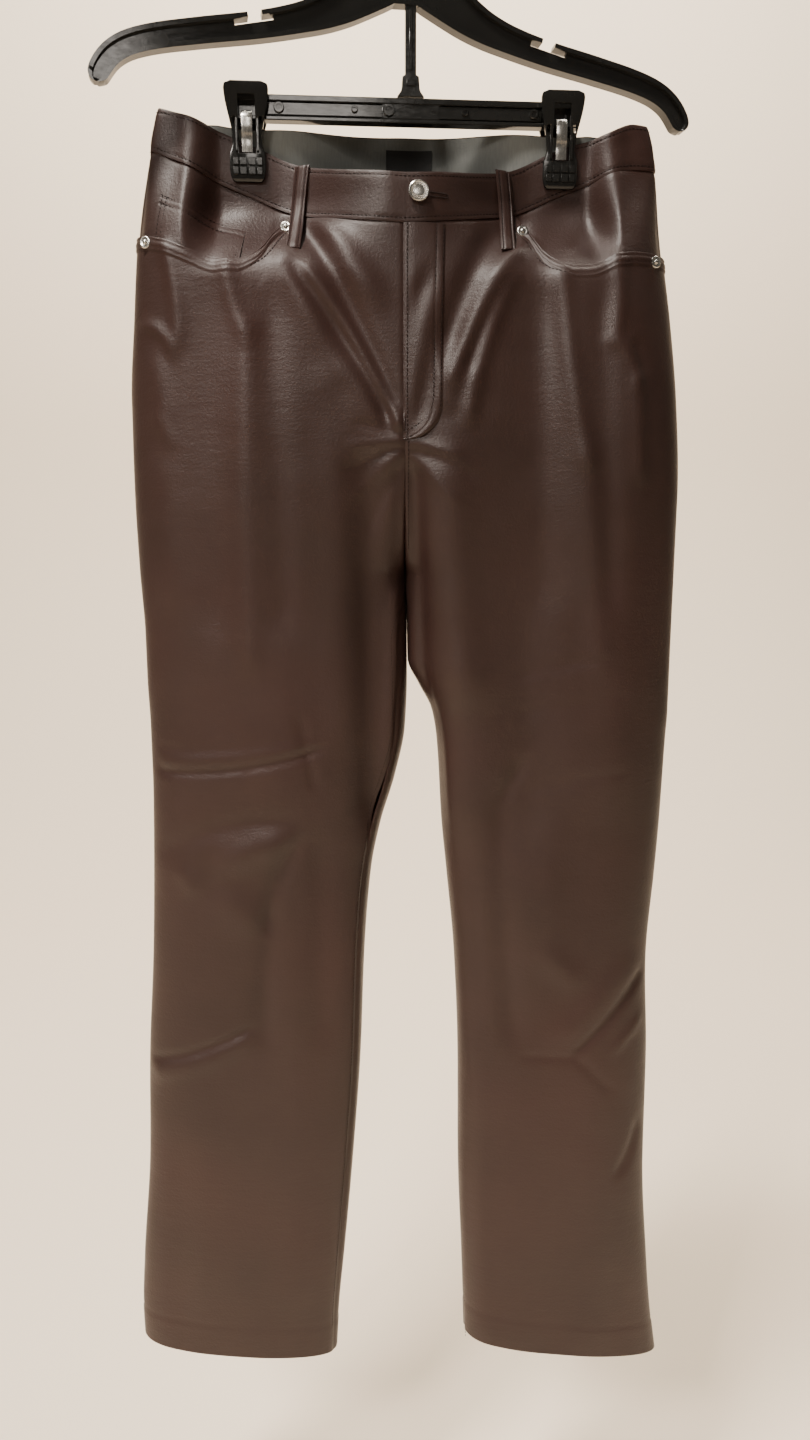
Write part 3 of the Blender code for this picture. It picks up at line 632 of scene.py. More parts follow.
class Tree:
    """A finish: its material, and a short way to add nodes that feed its shader."""

    def __init__(self, name):
        self.material = bpy.data.materials.new(name)
        self.material.use_nodes = True
        self.nodes = self.material.node_tree.nodes
        self.where = self.nodes.new("ShaderNodeTexCoord").outputs["Object"]

    def feed(self, sockets, values):
        """Gives each named socket a number, a colour or another node's output."""
        for name, value in values.items():
            if isinstance(value, bpy.types.NodeSocket):
                self.material.node_tree.links.new(value, sockets[name])
            else:
                colour = sockets[name].type == "RGBA"
                sockets[name].default_value = (*value, 1) if colour else value

    def add(self, kind, output, values, **settings):
        node = self.nodes.new(kind)
        for name, value in settings.items():
            setattr(node, name, value)
        self.feed(node.inputs, values)
        return node.outputs[output]

    def noise(self, scale, detail=3.0, rough=0.5, stretch=(1, 1, 1)):
        where = self.add("ShaderNodeMapping", "Vector", {"Vector": self.where, "Scale": stretch})
        return self.add("ShaderNodeTexNoise", "Fac", {"Vector": where, "Scale": scale,
                                                      "Detail": detail, "Roughness": rough})

    def cells(self, scale):
        return self.add("ShaderNodeTexVoronoi", "Distance", {"Vector": self.where, "Scale": scale},
                        feature="DISTANCE_TO_EDGE")

    def ramp(self, source, low, high, from_low=0.3, from_high=0.7):
        """Maps a value range onto two numbers."""
        return self.add("ShaderNodeMapRange", "Result", {
            "Value": source, "From Min": from_low, "From Max": from_high,
            "To Min": low, "To Max": high})

    def blend(self, factor, first, second):
        """Mixes two colours by a factor."""
        return self.add("ShaderNodeMix", 2, {0: factor, 6: first, 7: second}, data_type="RGBA")

    def bump(self, source, strength, distance, below=None):
        under = {"Normal": below} if below else {}
        return self.add("ShaderNodeBump", "Normal", {
            "Height": source, "Strength": strength, "Distance": distance, **under})

    def shade(self, colour, roughness, **others):
        """Feeds the shader; a socket's name is given with _ for each space."""
        sockets = {name.replace("_", " "): value for name, value in others.items()}
        self.feed(self.nodes["Principled BSDF"].inputs,
                  {"Base Color": colour, "Roughness": roughness, **sockets})
        return self.material


def leather_finish():
    """Coated cloth: dark chocolate with a burgundy cast, pebbled grain and crosswise wrinkles."""
    tree = Tree("faux_leather")
    mottle = tree.ramp(tree.noise(9, 4, 0.6), 0, 1, 0.35, 0.65)
    brown = tree.blend(mottle, (0.027, 0.0133, 0.0106), (0.0345, 0.0173, 0.0139))
    red = tree.ramp(tree.noise(5, 2, 0.5), 0, 0.5, 0.45, 0.75)
    rough = tree.ramp(tree.noise(30, 5, 0.6), 0.41, 0.49)
    wrinkled = tree.bump(tree.noise(38, 5, 0.6, (1, 1, 4.5)), 0.26, 0.0010)
    grained = tree.bump(tree.noise(520, 3, 0.65), 0.55, 0.0005, wrinkled)
    pebbled = tree.bump(tree.cells(1500), 0.15, 0.0002, grained)
    return tree.shade(tree.blend(red, brown, (0.044, 0.0172, 0.0146)), rough, Normal=pebbled,
                      Specular_IOR_Level=0.38)


def thread_finish():
    tree = Tree("thread")
    brown = tree.blend(tree.noise(900, 2), (0.009, 0.0048, 0.0038), (0.016, 0.0085, 0.0066))
    return tree.shade(brown, 0.75, Normal=tree.bump(tree.noise(4000, 1), 0.3, 0.0002),
                      Specular_IOR_Level=0.2)


def charcoal_finish():
    """A fine plain weave, grey-green charcoal."""
    tree = Tree("charcoal_cloth")
    warp = tree.noise(700, 2, 0.5, (1, 1, 0.2))
    weft = tree.noise(700, 2, 0.5, (0.2, 1, 1))
    grey = tree.blend(warp, (0.115, 0.121, 0.113), (0.175, 0.182, 0.170))
    woven = tree.bump(weft, 0.3, 0.0003, tree.bump(warp, 0.3, 0.0003))
    return tree.shade(grey, 0.7, Normal=woven, Sheen_Weight=0.15)


def ribbed_finish(name, stretch, scale, dark, light, roughness):
    """A narrow woven tape with fine ribs."""
    tree = Tree(name)
    ribs = tree.noise(scale, 1, 0.5, stretch)
    return tree.shade(tree.blend(ribs, dark, light), roughness,
                      Normal=tree.bump(ribs, 0.3, 0.0002))


def plastic_finish():
    """Glossy black moulding with faint flow marks and handling scuffs."""
    tree = Tree("black_plastic")
    black = tree.blend(tree.noise(40, 3), (0.010, 0.010, 0.0095), (0.017, 0.017, 0.016))
    scuffs = tree.ramp(tree.noise(120, 6, 0.7, (1, 1, 3)), 0.09, 0.20, 0.4, 0.7)
    return tree.shade(black, scuffs, Normal=tree.bump(tree.noise(90, 3), 0.10, 0.0005))


def steel_finish():
    """Bright plated steel, slightly hazed."""
    tree = Tree("bright_steel")
    grey = tree.blend(tree.noise(200, 3), (0.50, 0.485, 0.45), (0.68, 0.66, 0.62))
    rough = tree.ramp(tree.noise(400, 4, 0.6, (1, 1, 0.3)), 0.18, 0.32)
    return tree.shade(grey, rough, Normal=tree.bump(tree.noise(300, 3), 0.05, 0.0004),
                      Metallic=1.0)


def studio_finish():
    colour = (0.84, 0.72, 0.58)
    tree = Tree("studio_paint")
    return tree.shade(tree.blend(tree.noise(1.5, 2), colour, [0.97 * c for c in colour]), 0.9)


THREAD = thread_finish()
FINISH = {
    "faux_leather": leather_finish(),
    "charcoal_cloth": charcoal_finish(),
    "black_label": ribbed_finish("black_label", (0.15, 1, 1), 1200, (0.004, 0.004, 0.004),
                                 (0.011, 0.011, 0.011), 0.55),
    "black_plastic": plastic_finish(),
    "bright_steel": steel_finish(),
    "zip_tape": ribbed_finish("zip_tape", (1, 1, 0.2), 900, (0.018, 0.010, 0.008),
                              (0.03, 0.018, 0.015), 0.75),
}

# ---------------------------------------------------------------- cloth pieces


def cloth_piece(name, points, normals, wall, node, slot="faux_leather"):
    """A sheet of cloth over a grid of points, with the size that it was cut to."""
    made = shell_object(name, points, normals, wall)
    finish_piece(made, slot, node)


def panel_shares(count, length, close=16):
    """Row shares: 1 mm apart in the first rows, for a turned edge, then even."""
    first = np.arange(close) / length
    return np.concatenate((first, np.linspace(close / length, 1, count - close)))


def make_panel(side, face, columns, rows):
    w = even_ends(columns)
    edge_of = front_edge(side) if face == "front" else (lambda x: waist_edge("back_seam", x))
    top = seam_drop(side, face, w, edge_of)
    outer_hem, inner_hem = HEM[side]
    hem = outer_hem + (inner_hem - outer_hem) * w
    shares = panel_shares(rows, 930)
    drop = top[None, :] + (hem - top)[None, :] * shares[:, None]
    grid = np.broadcast_to(w, drop.shape)
    points, normals = skin(side, face, grid, drop)
    lift = seam_dip(points)
    below_top = drop - top[None, :]
    above_hem = hem[None, :] - drop
    if face == "front":
        mouth = ease(MOUTH_START - 2, MOUTH_START + 4, np.abs(points[..., 0]))
        turned_edge = 1.1 * (1 - ease(8.0, 9.8, below_top))
        grooves = hump(below_top - 2.2, 0.9) + hump(below_top - 7.0, 0.9)
        lift = lift + mouth * (turned_edge - 0.6 * grooves - 0.5 * hump(below_top, 0.6))
    sunk = 0.5 * hump(below_top, 2.0)
    lift = lift - sunk * (1 if face == "back" else 1 - mouth)
    lift = lift + 0.35 * (1 - ease(26, 29, above_hem)) - 0.3 * hump(above_hem - 28, 1.6)
    points = inset_grid(points + normals * lift[..., None])
    if (side, face) == ("right", "front"):
        sewn = 1 - ease(CROTCH - 8, CROTCH + 10, drop[:, -1:])
        points[:, -1] += sewn * (LAP, CLOTH + 0.3, 0)
    cloth_piece(f"{face}_panel_cloth_{side}", points, normals, CLOTH, f"{face}_panel_{side}")


def band_half(side, face, columns, rows):
    """Half the band's points, their normals and how far each stands out."""
    w = even_ends(columns)
    top = seam_drop(side, face, w, lambda x: waist_edge(f"{face}_top", x))
    seam = seam_drop(side, face, w, lambda x: waist_edge(f"{face}_seam", x))
    shares = even_ends(rows)
    drop = top[None, :] + (seam - top)[None, :] * shares[:, None]
    grid = np.broadcast_to(w, drop.shape)
    points, normals = skin(side, face, grid, drop, creased=False)
    x = points[..., 0]
    below = drop - top[None, :]
    above = seam[None, :] - drop
    grooves = hump(below - 3.0, 1.0) + hump(above - 3.0, 1.0)
    rolled = -0.7 * hump(below, 1.4) - 0.5 * hump(above, 1.2)
    cushion = 0.45 * np.sin(np.pi * np.clip(shares, 0, 1))[:, None]
    dents = 0.5 * np.sin(x / 9 + 2 * np.sin(drop / 11)) * np.sin(drop / 8 + x / 21)
    puckers = 0.12 * np.sin(x / 2.1) * grooves
    firm = 1 - 0.8 * pinched(x, drop)
    lift = BAND_PROUD + (cushion + 0.6 * dents) * firm - 0.4 * grooves + rolled + puckers
    return points, normals, lift


def make_waistband():
    for side in SIGN:
        points, normals, lift = band_half(side, "front", 110, 26)
        points = inset_grid(points + normals * lift[..., None])
        if side == "right":
            points[:, -1] += (LAP, BAND_WALL + 0.3, 0)
        cloth_piece(f"waistband_front_cloth_{side}", points, normals, BAND_WALL,
                    f"waistband_front_{side}")
    right, left = (band_half(side, "back", 90, 26) for side in SIGN)
    points, normals, lift = (np.concatenate((a, b[:, -2::-1]), axis=1) for a, b in zip(right, left))
    middle = right[0].shape[1] - 1
    points[:, middle, 0] = 0
    normals[:, middle] = (0, 1, 0)
    outer = inset_grid(points + normals * lift[..., None])
    cloth_piece("waistband_back_cloth", outer, normals, 1.3, "waistband_back")
    x = points[..., 0]
    soft = 0.25 * np.sin(x / 7 + 1.5 * np.sin(points[..., 2] / 9))
    facing = points + normals * (-1.1 + soft)[..., None]
    facing[0, :, 2] -= 0.8
    cloth_piece("waistband_facing_cloth", inset_grid(facing), normals, 0.8,
                "waistband_facing_back", "charcoal_cloth")


FLY_TOP = 271.3
FLY_FOOT = 420
FLY_WIDTH = 29
FLY_TURN = 0.83  # share of its length where the J starts to turn in
FLY_LAP = 1.2  # how far its folded edge passes the centre


def fly_reach(share):
    """The J's outer edge, as a distance from the centre, at a share of the fly's length."""
    turn = np.clip((share - FLY_TURN) / (1 - FLY_TURN), 0, 1)
    return (FLY_WIDTH - 2 * share) * np.sqrt(1 - turn ** 2.2 * 0.985)


def make_fly():
    rows = np.concatenate((np.linspace(0, FLY_TURN, 90), np.linspace(FLY_TURN, 1, 50)[1:]))
    share = even_ends(36, 0.3)
    drop = (FLY_TOP + (FLY_FOOT - FLY_TOP) * rows)[:, None] + 0 * share[None, :]
    reach = fly_reach(rows)[:, None]
    from_fold = share[None, :] * (reach + FLY_LAP)
    x = from_fold - FLY_LAP
    waves = 1.4 * np.sin((drop + 1.6 * x) / 9.5 + 1.1 * np.sin(drop / 23))
    wrinkles = waves * ease(285, 320, drop) * hump(x - 13, 9)
    edge = reach - x
    thick = 0.1 + 1.2 * ease(0, 1.8, edge) * ease(-2, 9, from_fold)
    grooves = hump(edge - 1.6, 0.8) + hump(edge - 6.8, 0.8)
    lift = thick - 0.35 * grooves + wrinkles - 0.4 * hump(from_fold, 0.8)
    points, normals = place("front", x, drop, lift)
    cloth_piece("fly_placket_cloth", points, normals, thick - 0.05, "fly_placket")
    tape_drop = np.linspace(276, 392, 60)[:, None] + np.zeros((1, 12))
    tape_x = np.zeros((60, 1)) + np.linspace(-9, 9, 12)[None, :]
    points, normals = place("front", tape_x, tape_drop, -2.6)
    cloth_piece("fly_zip_tape", points, normals, 0.8, "fly_zip", "zip_tape")


COIN_W = (0.18, 0.44)


def coin_top(share):
    """The drop of the coin pocket's slanted top edge, from its outer to its inner end."""
    return 246 + 22 * share


def pucker(x, drop):
    """The soft unevenness of the pocket cloth."""
    return 0.8 * np.sin(x / 11 + 0.5) * np.sin(drop / 13 + x / 17)


def make_pockets():
    for side in SIGN:
        w = even_ends(80) * 0.575
        seam = seam_drop(side, "front", w, lambda x: waist_edge("front_seam", x))
        mouth = np.maximum(seam_drop(side, "front", w, front_edge(side)), seam + 8)
        foot = mouth - 0.3 + 12 * ease(0.05, 0.15, w)
        drop = seam[None, :] + (foot - seam)[None, :] * even_ends(36)[:, None]
        grid = np.broadcast_to(w, drop.shape)
        points, normals = skin(side, "front", grid, drop)
        soft = pucker(points[..., 0], drop)
        share = (drop - seam[None, :]) / (mouth - seam)[None, :]
        sink = 2.7 * ease(0, 0.9, share) * ease(0, 0.06, grid)
        lift = soft * ease(0.05, 0.2, grid) - sink - 0.5 * hump(drop - seam[None, :], 2)
        points = inset_grid(points + normals * lift[..., None])
        cloth_piece(f"pocket_facing_cloth_{side}", points, normals, 0.7, f"pocket_facing_{side}")
    w = np.linspace(*COIN_W, 50)
    share = (w - w[0]) / (w[-1] - w[0])
    top = coin_top(share)
    drop = top[None, :] + (48 - 14 * share)[None, :] * even_ends(40)[:, None]
    grid = np.broadcast_to(w, drop.shape)
    points, normals = skin("right", "front", grid, drop)
    below = drop - top[None, :]
    edge = hump(below - 2, 0.8) + hump(below - 7.5, 0.8)
    lift = pucker(points[..., 0], drop) - 1.5 - 0.35 * edge
    points = points + normals * lift[..., None]
    cloth_piece("coin_pocket_cloth", points, normals, 0.7, "coin_pocket")


Loop = namedtuple("Loop", "name face x_top x_foot top foot")
LOOPS = rows_of(
    Loop,
    ("belt_loop_front_right", "front", -74, -80, 224.5, 288),
    ("belt_loop_front_left", "front", 71, 74.5, 225, 287),
    ("belt_loop_back_right", "back", -60, -60, 197, 243),
    ("belt_loop_back_left", "back", 60, 60, 196, 241),
    ("belt_loop_back_centre", "back", 0, 0, 193, 240),
)
LOOP_WIDTH = 10.5


def loop_grid(loop, across, rows, lift):
    down = rows[:, None]
    x = loop.x_top + (loop.x_foot - loop.x_top) * down + LOOP_WIDTH * across[None, :]
    drop = loop.top + (loop.foot - loop.top) * down + 0 * across[None, :]
    bow = 2.2 * np.sin(np.pi * down) + 0 * across[None, :]
    return place(loop.face, x, drop, BAND_PROUD + 1.4 + bow + lift, creased=False)


def make_loops():
    rows = np.linspace(0, 1, 60)
    across = even_ends(15, 0.5) - 0.5
    for loop in LOOPS:
        ridge = 0.7 - 0.9 * hump(np.abs(across) - 0.32, 0.07) - 0.8 * hump(
            np.abs(across) - 0.5, 0.08)
        tuck = -0.5 * (hump(rows, 0.012) + hump(rows - 1, 0.012))
        tacks = 0.3 * np.sin(rows * 34)
        lift = ridge[None, :] + tuck[:, None] + 0.15 * tacks[:, None]
        points, normals = loop_grid(loop, across, rows, lift)
        cloth_piece(f"{loop.name}_cloth", points, normals, 1.3, loop.name)


def make_label():
    x = np.linspace(-15, 21, 30)[None, :] + np.zeros((14, 1))
    drop = np.linspace(199, 215, 14)[:, None] + np.zeros((1, 30))
    points, normals = place("back", x, drop, -2.3 + 0.15 * np.sin(x / 5), creased=False)
    cloth_piece("waist_label_cloth", points, normals, 0.4, "waist_label", "black_label")


def make_cloth():
    for side in SIGN:
        make_panel(side, "front", 96, 330)
        make_panel(side, "back", 72, 250)
    make_waistband()
    make_fly()
    make_pockets()
    make_loops()
    make_label()


# ---------------------------------------------------------------- stitches


STITCH = ("Pitch", "Stitch length", "Thread radius")


def stitch_tree():
    """Geometry Nodes: stitches laid end to end along every line of a mesh."""
    tree = bpy.data.node_groups.new("stitch_run", "GeometryNodeTree")
    sockets = [("Geometry", "INPUT", "Geometry"), ("Geometry", "OUTPUT", "Geometry")]
    sockets[1:1] = [(name, "INPUT", "Float") for name in STITCH]
    made = {name: tree.interface.new_socket(name, in_out=way, socket_type=f"NodeSocket{kind}")
            for name, way, kind in sockets}
    kinds = {
        "enter": "NodeGroupInput", "leave": "NodeGroupOutput",
        "curve": "GeometryNodeMeshToCurve", "spaced": "GeometryNodeResampleCurve",
        "bead": "GeometryNodeMeshUVSphere", "smooth": "GeometryNodeSetShadeSmooth",
        "size": "ShaderNodeCombineXYZ", "half": "ShaderNodeMath",
        "tangent": "GeometryNodeInputTangent", "align": "FunctionNodeAlignRotationToVector",
        "repeat": "GeometryNodeInstanceOnPoints", "realize": "GeometryNodeRealizeInstances",
        "paint": "GeometryNodeSetMaterial",
    }
    nodes = {name: tree.nodes.new(kind) for name, kind in kinds.items()}
    nodes["spaced"].mode = "LENGTH"
    nodes["half"].operation = "MULTIPLY"
    nodes["align"].axis = "Z"
    for node, socket, value in (("bead", "Segments", 6), ("bead", "Rings", 5),
                                ("bead", "Radius", 1.0), ("half", 1, 0.5),
                                ("paint", "Material", THREAD)):
        nodes[node].inputs[socket].default_value = value
    for first, output, second, entry in (
        ("enter", "Geometry", "curve", "Mesh"),
        ("curve", "Curve", "spaced", "Curve"),
        ("enter", "Pitch", "spaced", "Length"),
        ("spaced", "Curve", "repeat", "Points"),
        ("bead", "Mesh", "smooth", "Geometry"),
        ("smooth", "Geometry", "repeat", "Instance"),
        ("tangent", "Tangent", "align", "Vector"),
        ("align", "Rotation", "repeat", "Rotation"),
        ("enter", "Stitch length", "half", 0),
        ("half", "Value", "size", "Z"),
        ("enter", "Thread radius", "size", "X"),
        ("enter", "Thread radius", "size", "Y"),
        ("size", "Vector", "repeat", "Scale"),
        ("repeat", "Instances", "realize", "Geometry"),
        ("realize", "Geometry", "paint", "Geometry"),
        ("paint", "Geometry", "leave", "Geometry"),
    ):
        tree.links.new(nodes[first].outputs[output], nodes[second].inputs[entry])
    return tree, {name: made[name].identifier for name in STITCH}


STITCH_TREE, STITCH_SIZES = stitch_tree()


def sew(name, lines, pitch=3.1, length=2.5, radius=0.3):
    """Sews along lists of points: one joined mesh of stitches."""
    points = []
    edges = []
    for line in lines:
        start = len(points)
        points.extend((np.asarray(line) * MM).tolist())
        edges.extend((start + i, start + i + 1) for i in range(len(line) - 1))
    mesh = bpy.data.meshes.new(name)
    mesh.from_pydata(points, edges, [])
    made = add_object(name, mesh)
    modifier = made.modifiers.new("Stitches", "NODES")
    modifier.node_group = STITCH_TREE
    for size, value in zip(STITCH_SIZES, (pitch, length, radius)):
        modifier[STITCH_SIZES[size]] = value * MM
    bake(made)
    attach(made, "root")


def line_at(face, x, drop, lift):
    return place(face, x, drop, lift)[0]


def band_line(side, face, edge, inset_by, lift):
    """A line along the waistband, inset from its top edge or its seam."""
    w = np.linspace(0.004, 0.996, 160)
    drop = seam_drop(side, face, w, lambda x: waist_edge(f"{face}_{edge}", x)) + inset_by
    return skin(side, face, w, drop, BAND_PROUD + lift, creased=False)[0]


def stitch_waistband():
    lines = [band_line(side, face, edge, inset_by, -0.1) for side in SIGN
             for face in ("front", "back") for edge, inset_by in (("top", 3.0), ("seam", -3.0))]
    sew("waistband_stitches", lines)


def stitch_pockets():
    """Two rows along each pocket mouth, at its edge and 7.6 mm below."""
    lines = []
    reach = np.linspace(85.5, 192, 140)
    for side, sign in SIGN.items():
        edge = front_edge(side)(sign * reach)
        slope = np.gradient(edge, reach)
        tilt = np.sqrt(1 + slope ** 2)
        for inset_by in (2.2, 7.6):
            x = reach - inset_by * slope / tilt
            drop = edge + inset_by / tilt
            keep = (x > 76) & (x < 190)
            lines.append(line_at("front", sign * x[keep], drop[keep], 0.2))
    sew("pocket_stitches", lines)


def stitch_fly():
    """The double J, the fly's folded edge, and the seam below it."""
    share = np.concatenate((np.linspace(0.005, FLY_TURN, 60), np.linspace(FLY_TURN, 1, 40)[1:]))
    lines = []
    for inset_by in (1.6, 6.8):
        reach = np.maximum(fly_reach(share) - inset_by, -0.5)
        drop = FLY_TOP + (FLY_FOOT - FLY_TOP - inset_by * 0.9) * share
        lines.append(line_at("front", reach, drop, 1.15))
    for x, top, foot, count, lift in ((1.6, FLY_TOP + 1, FLY_FOOT - 4, 60, 1.25),
                                      (2.6, FLY_FOOT + 2, 500, 40, 0.2)):
        lines.append(line_at("front", np.full(count, x), np.linspace(top, foot, count), lift))
    sew("fly_stitches", lines, pitch=2.9, length=2.3)


def stitch_coin_pocket():
    """Two rows below its slanted top, and two down each of its sides."""
    low, high = COIN_W
    w = np.linspace(low + 0.01, high - 0.01, 60)
    share = (w - w[0]) / (w[-1] - w[0])
    runs = [(w, coin_top(share) + inset_by) for inset_by in (2, 7.5)]
    for at in (0.195, 0.215, 0.405, 0.43):
        runs.append((np.full(40, at), np.linspace(coin_top((at - low) / (high - low)) + 2, 292, 40)))
    lines = []
    for w, drop in runs:
        points, normals = skin("right", "front", w, drop)
        lines.append(points + normals * -1.35)
    sew("coin_pocket_stitches", lines)


def stitch_loops():
    """Two long rows down each loop and a tack across each end."""
    lines = []
    rows = np.linspace(0.02, 0.98, 40)
    for loop in LOOPS:
        for at in (-0.32, 0.32):
            lines.append(loop_grid(loop, np.array([at]), rows, np.zeros((40, 1)))[0][:, 0])
        for row in (0.03, 0.97):
            lines.append(loop_grid(loop, np.linspace(-0.4, 0.4, 12), np.array([row]),
                                   np.full((1, 12), -0.3))[0][0])
    sew("loop_stitches", lines, pitch=2.6, length=2.1, radius=0.25)


def stitch_seams():
    """Inner leg, centre back and side seams."""
    lines = []
    for side, inner in (("right", 0.975), ("left", 0.968)):
        points, normals = skin(side, "front", np.full(420, inner),
                               np.linspace(CROTCH + 14, 1196, 420))
        lines.append(points + normals * -0.15)
        lines.append(line_at("back", np.full(160, SIGN[side] * 2.6), np.linspace(232, 500, 160),
                             0.15))
        points, normals = skin(side, "front", np.full(90, 0.018), np.linspace(292, 395, 90))
        lines.append(points + normals * -0.3)
    sew("seam_stitches", lines, pitch=2.9, length=2.3, radius=0.26)


def make_stitches():
    stitch_waistband()
    stitch_pockets()
    stitch_fly()
    stitch_coin_pocket()
    stitch_loops()
    stitch_seams()


# ---------------------------------------------------------------- button and rivets


def facing(axis):
    """Unit directions along an axis, beside it and up it."""
    axis = np.asarray(axis, float)
    axis = axis / np.linalg.norm(axis)
    beside = np.cross(axis, (0, 0, 1.0))
    beside = beside / np.linalg.norm(beside)
    return axis, beside, np.cross(beside, axis)


def turned(name, centre, axis, profile, sides):
    """A solid of revolution from (radius, height) points."""
    axis, beside, upward = facing(axis)
    turn = 2 * math.pi * np.arange(sides) / sides
    spokes = np.outer(np.cos(turn), beside) + np.outer(np.sin(turn), upward)
    rings = [np.asarray(centre) + axis * height + spokes * radius for radius, height in profile]
    return loft(name, rings, sharp=50)


RIVET = ((0.6, -1.5), (4.0, -1.5), (4.2, -0.4), (4.25, 0.35), (4.2, 0.75), (3.9, 1.1),
         (3.4, 1.25), (2.9, 1.15), (2.4, 0.95), (1.75, 0.95), (1.55, 1.2), (1.45, 1.75),
         (1.1, 2.1), (0.5, 2.25))
BUTTON = ((1.0, 0), (3.0, 0), (3.0, 1.2), (6.6, 1.4), (7.2, 1.8), (7.4, 2.4), (7.15, 3.0),
          (6.6, 3.3), (6.1, 3.2), (5.8, 2.95), (4.1, 2.85), (3.9, 3.05), (3.5, 3.15), (1.0, 3.2))
BEAD = ((0.5, -0.3), (0.5, 0.1), (0.3, 0.3))
BEADS = 26
BEAD_RING = 4.95
RIVETS = (
    ("rivet_right_inner", -86.5, 269),
    ("rivet_right_outer", -185, 283),
    ("rivet_left_inner", 86.5, 269),
    ("rivet_left_outer", 183, 292),
)


def make_studs():
    for name, x, drop in RIVETS:
        point, normal = place("front", np.array([x]), np.array([drop]), 1.3)
        made = turned(f"{name}_cap", point[0], normal[0] + np.array((0, -1.6, 0)), RIVET, 32)
        finish_piece(made, "bright_steel", name)
    foot, normal = place("front", np.array([9.5]), np.array([251.0]), BAND_PROUD + 0.8,
                         creased=False)
    foot, axis = foot[0], normal[0]
    parts = [turned("button_cap", foot, axis, BUTTON, 64)]
    axis, beside, upward = facing(axis)
    for i in range(BEADS):
        turn = 2 * math.pi * i / BEADS
        spoke = beside * math.cos(turn) + upward * math.sin(turn)
        parts.append(turned(f"bead_{i}", foot + axis * 3.0 + spoke * BEAD_RING, axis, BEAD, 8))
    finish_piece(join("waist_button_cap", parts), "bright_steel", "waist_button")
    make_buttonhole()


def make_buttonhole():
    """Close stitches around the slit that runs from the button towards the wearer's left."""
    x = np.concatenate((np.linspace(18, 29, 14), np.full(3, 29.6), np.linspace(29, 18, 14)))
    drop = np.concatenate((np.full(14, 250.6), (251.2, 252.0, 252.8), np.full(14, 253.4)))
    line = place("front", x, drop, BAND_PROUD + 0.75, creased=False)[0]
    sew("buttonhole_stitches", [line], pitch=0.7, length=1.5, radius=0.42)


# ---------------------------------------------------------------- the hanger


def hung(x, y, drop, yaw):
    """A point of the hanger at a drop, turned about the vertical."""
    return x * math.cos(yaw) - y * math.sin(yaw), x * math.sin(yaw) + y * math.cos(yaw), -drop


FORWARD = np.array(hung(0, -1, 0, CLIP_YAW))

Arm = namedtuple("Arm", "reach drop half")
ARM = rows_of(
    Arm,
    (0, 95.5, 17.5), (12, 96.3, 17.4), (22, 101, 17.2), (34, 108.8, 15.5), (47, 117, 13.2),
    (62, 124, 11.2), (80, 129.8, 9.7), (106, 136, 9.0), (148, 143.6, 8.6), (180, 150.2, 8.3),
    (196, 155.5, 8.1), (207, 162.5, 7.9), (214, 171, 7.7), (216.8, 176.5, 7.0),
    (217.8, 179.5, 5.0), (218.2, 181.2, 2.0),
)
RIM = 3.2
RIM_DEEP = 4.5
WEB_DEEP = 1.6


def arm_rings():
    """Sections across the arm: a proud rim above and below a thin web, on both faces."""
    run = np.array([0.0])
    for a, b in zip(ARM, ARM[1:]):
        run = np.append(run, run[-1] + math.hypot(b.reach - a.reach, b.drop - a.drop))
    at = np.concatenate((np.linspace(0, run[-1] - 9, 56), np.linspace(run[-1] - 8, run[-1], 10)))
    reach = smooth_curve(run, [row.reach for row in ARM], at)
    drop = smooth_curve(run, [row.drop for row in ARM], at)
    half = smooth_curve(run, [row.half for row in ARM], at)
    along = np.stack((np.gradient(reach, at), np.gradient(drop, at)), axis=-1)
    along = along / np.linalg.norm(along, axis=-1, keepdims=True)
    along[0] = (1, 0)
    rings = []
    for r, d, h, (dr, dd) in zip(reach, drop, half, along):
        rim = min(RIM, 0.5 * h)
        web = WEB_DEEP if h > 6 else RIM_DEEP * (1 - h / 9)
        web = min(web, RIM_DEEP * 0.98)
        near = ((RIM_DEEP, h), (RIM_DEEP, h - rim), (web, h - rim - 0.6),
                (web, rim + 0.6 - h), (RIM_DEEP, rim - h), (RIM_DEEP, -h))
        far = tuple((-y, v) for y, v in reversed(near))
        rings.append([(r + dd * v, y, d - dr * v) for y, v in near + far])
    return rings


def box_cutter(name, centre, half, slope):
    """A box in the hanger's plane: centre (reach, drop), half sizes along, up and deep."""
    bm = bmesh.new()
    bmesh.ops.create_cube(bm, size=2.0)
    bmesh.ops.scale(bm, vec=(half[0], half[2], half[1]), verts=bm.verts)
    for change in (Matrix.Rotation(slope, 4, "Y"), Matrix.Translation((centre[0], 0, -centre[1])),
                   Matrix.Rotation(SHOULDER_YAW, 4, "Z"), Matrix.Scale(MM, 4)):
        bmesh.ops.transform(bm, matrix=change, verts=bm.verts)
    mesh = bpy.data.meshes.new(name)
    bm.to_mesh(mesh)
    bm.free()
    return add_object(name, mesh)


NOTCH_REACH = 109


def make_shoulder():
    """Both arms in one moulding, each with a strap notch and the slot below it."""
    half = arm_rings()
    rings = [[hung(reach * mirror, y, drop, SHOULDER_YAW) for reach, y, drop in ring]
             for mirror, source in ((-1, half[:0:-1]), (1, half)) for ring in source]
    made = loft("hanger_shoulder_moulding", rings, sharp=35)
    cutters = []
    for mirror in (-1, 1):
        slope = mirror * math.atan2(17, 78)
        reach = mirror * NOTCH_REACH
        cutters.append(box_cutter("notch", (reach, 126.5), (5.0, 5.5, 9), slope))
        cutters.append(box_cutter("slot", (reach, 132.2), (14.0, 1.6, 9), slope))
    cut(made, cutters)
    bevelled(made, 0.5, angle=35)
    finish_piece(made, "black_plastic", "hanger_shoulder")


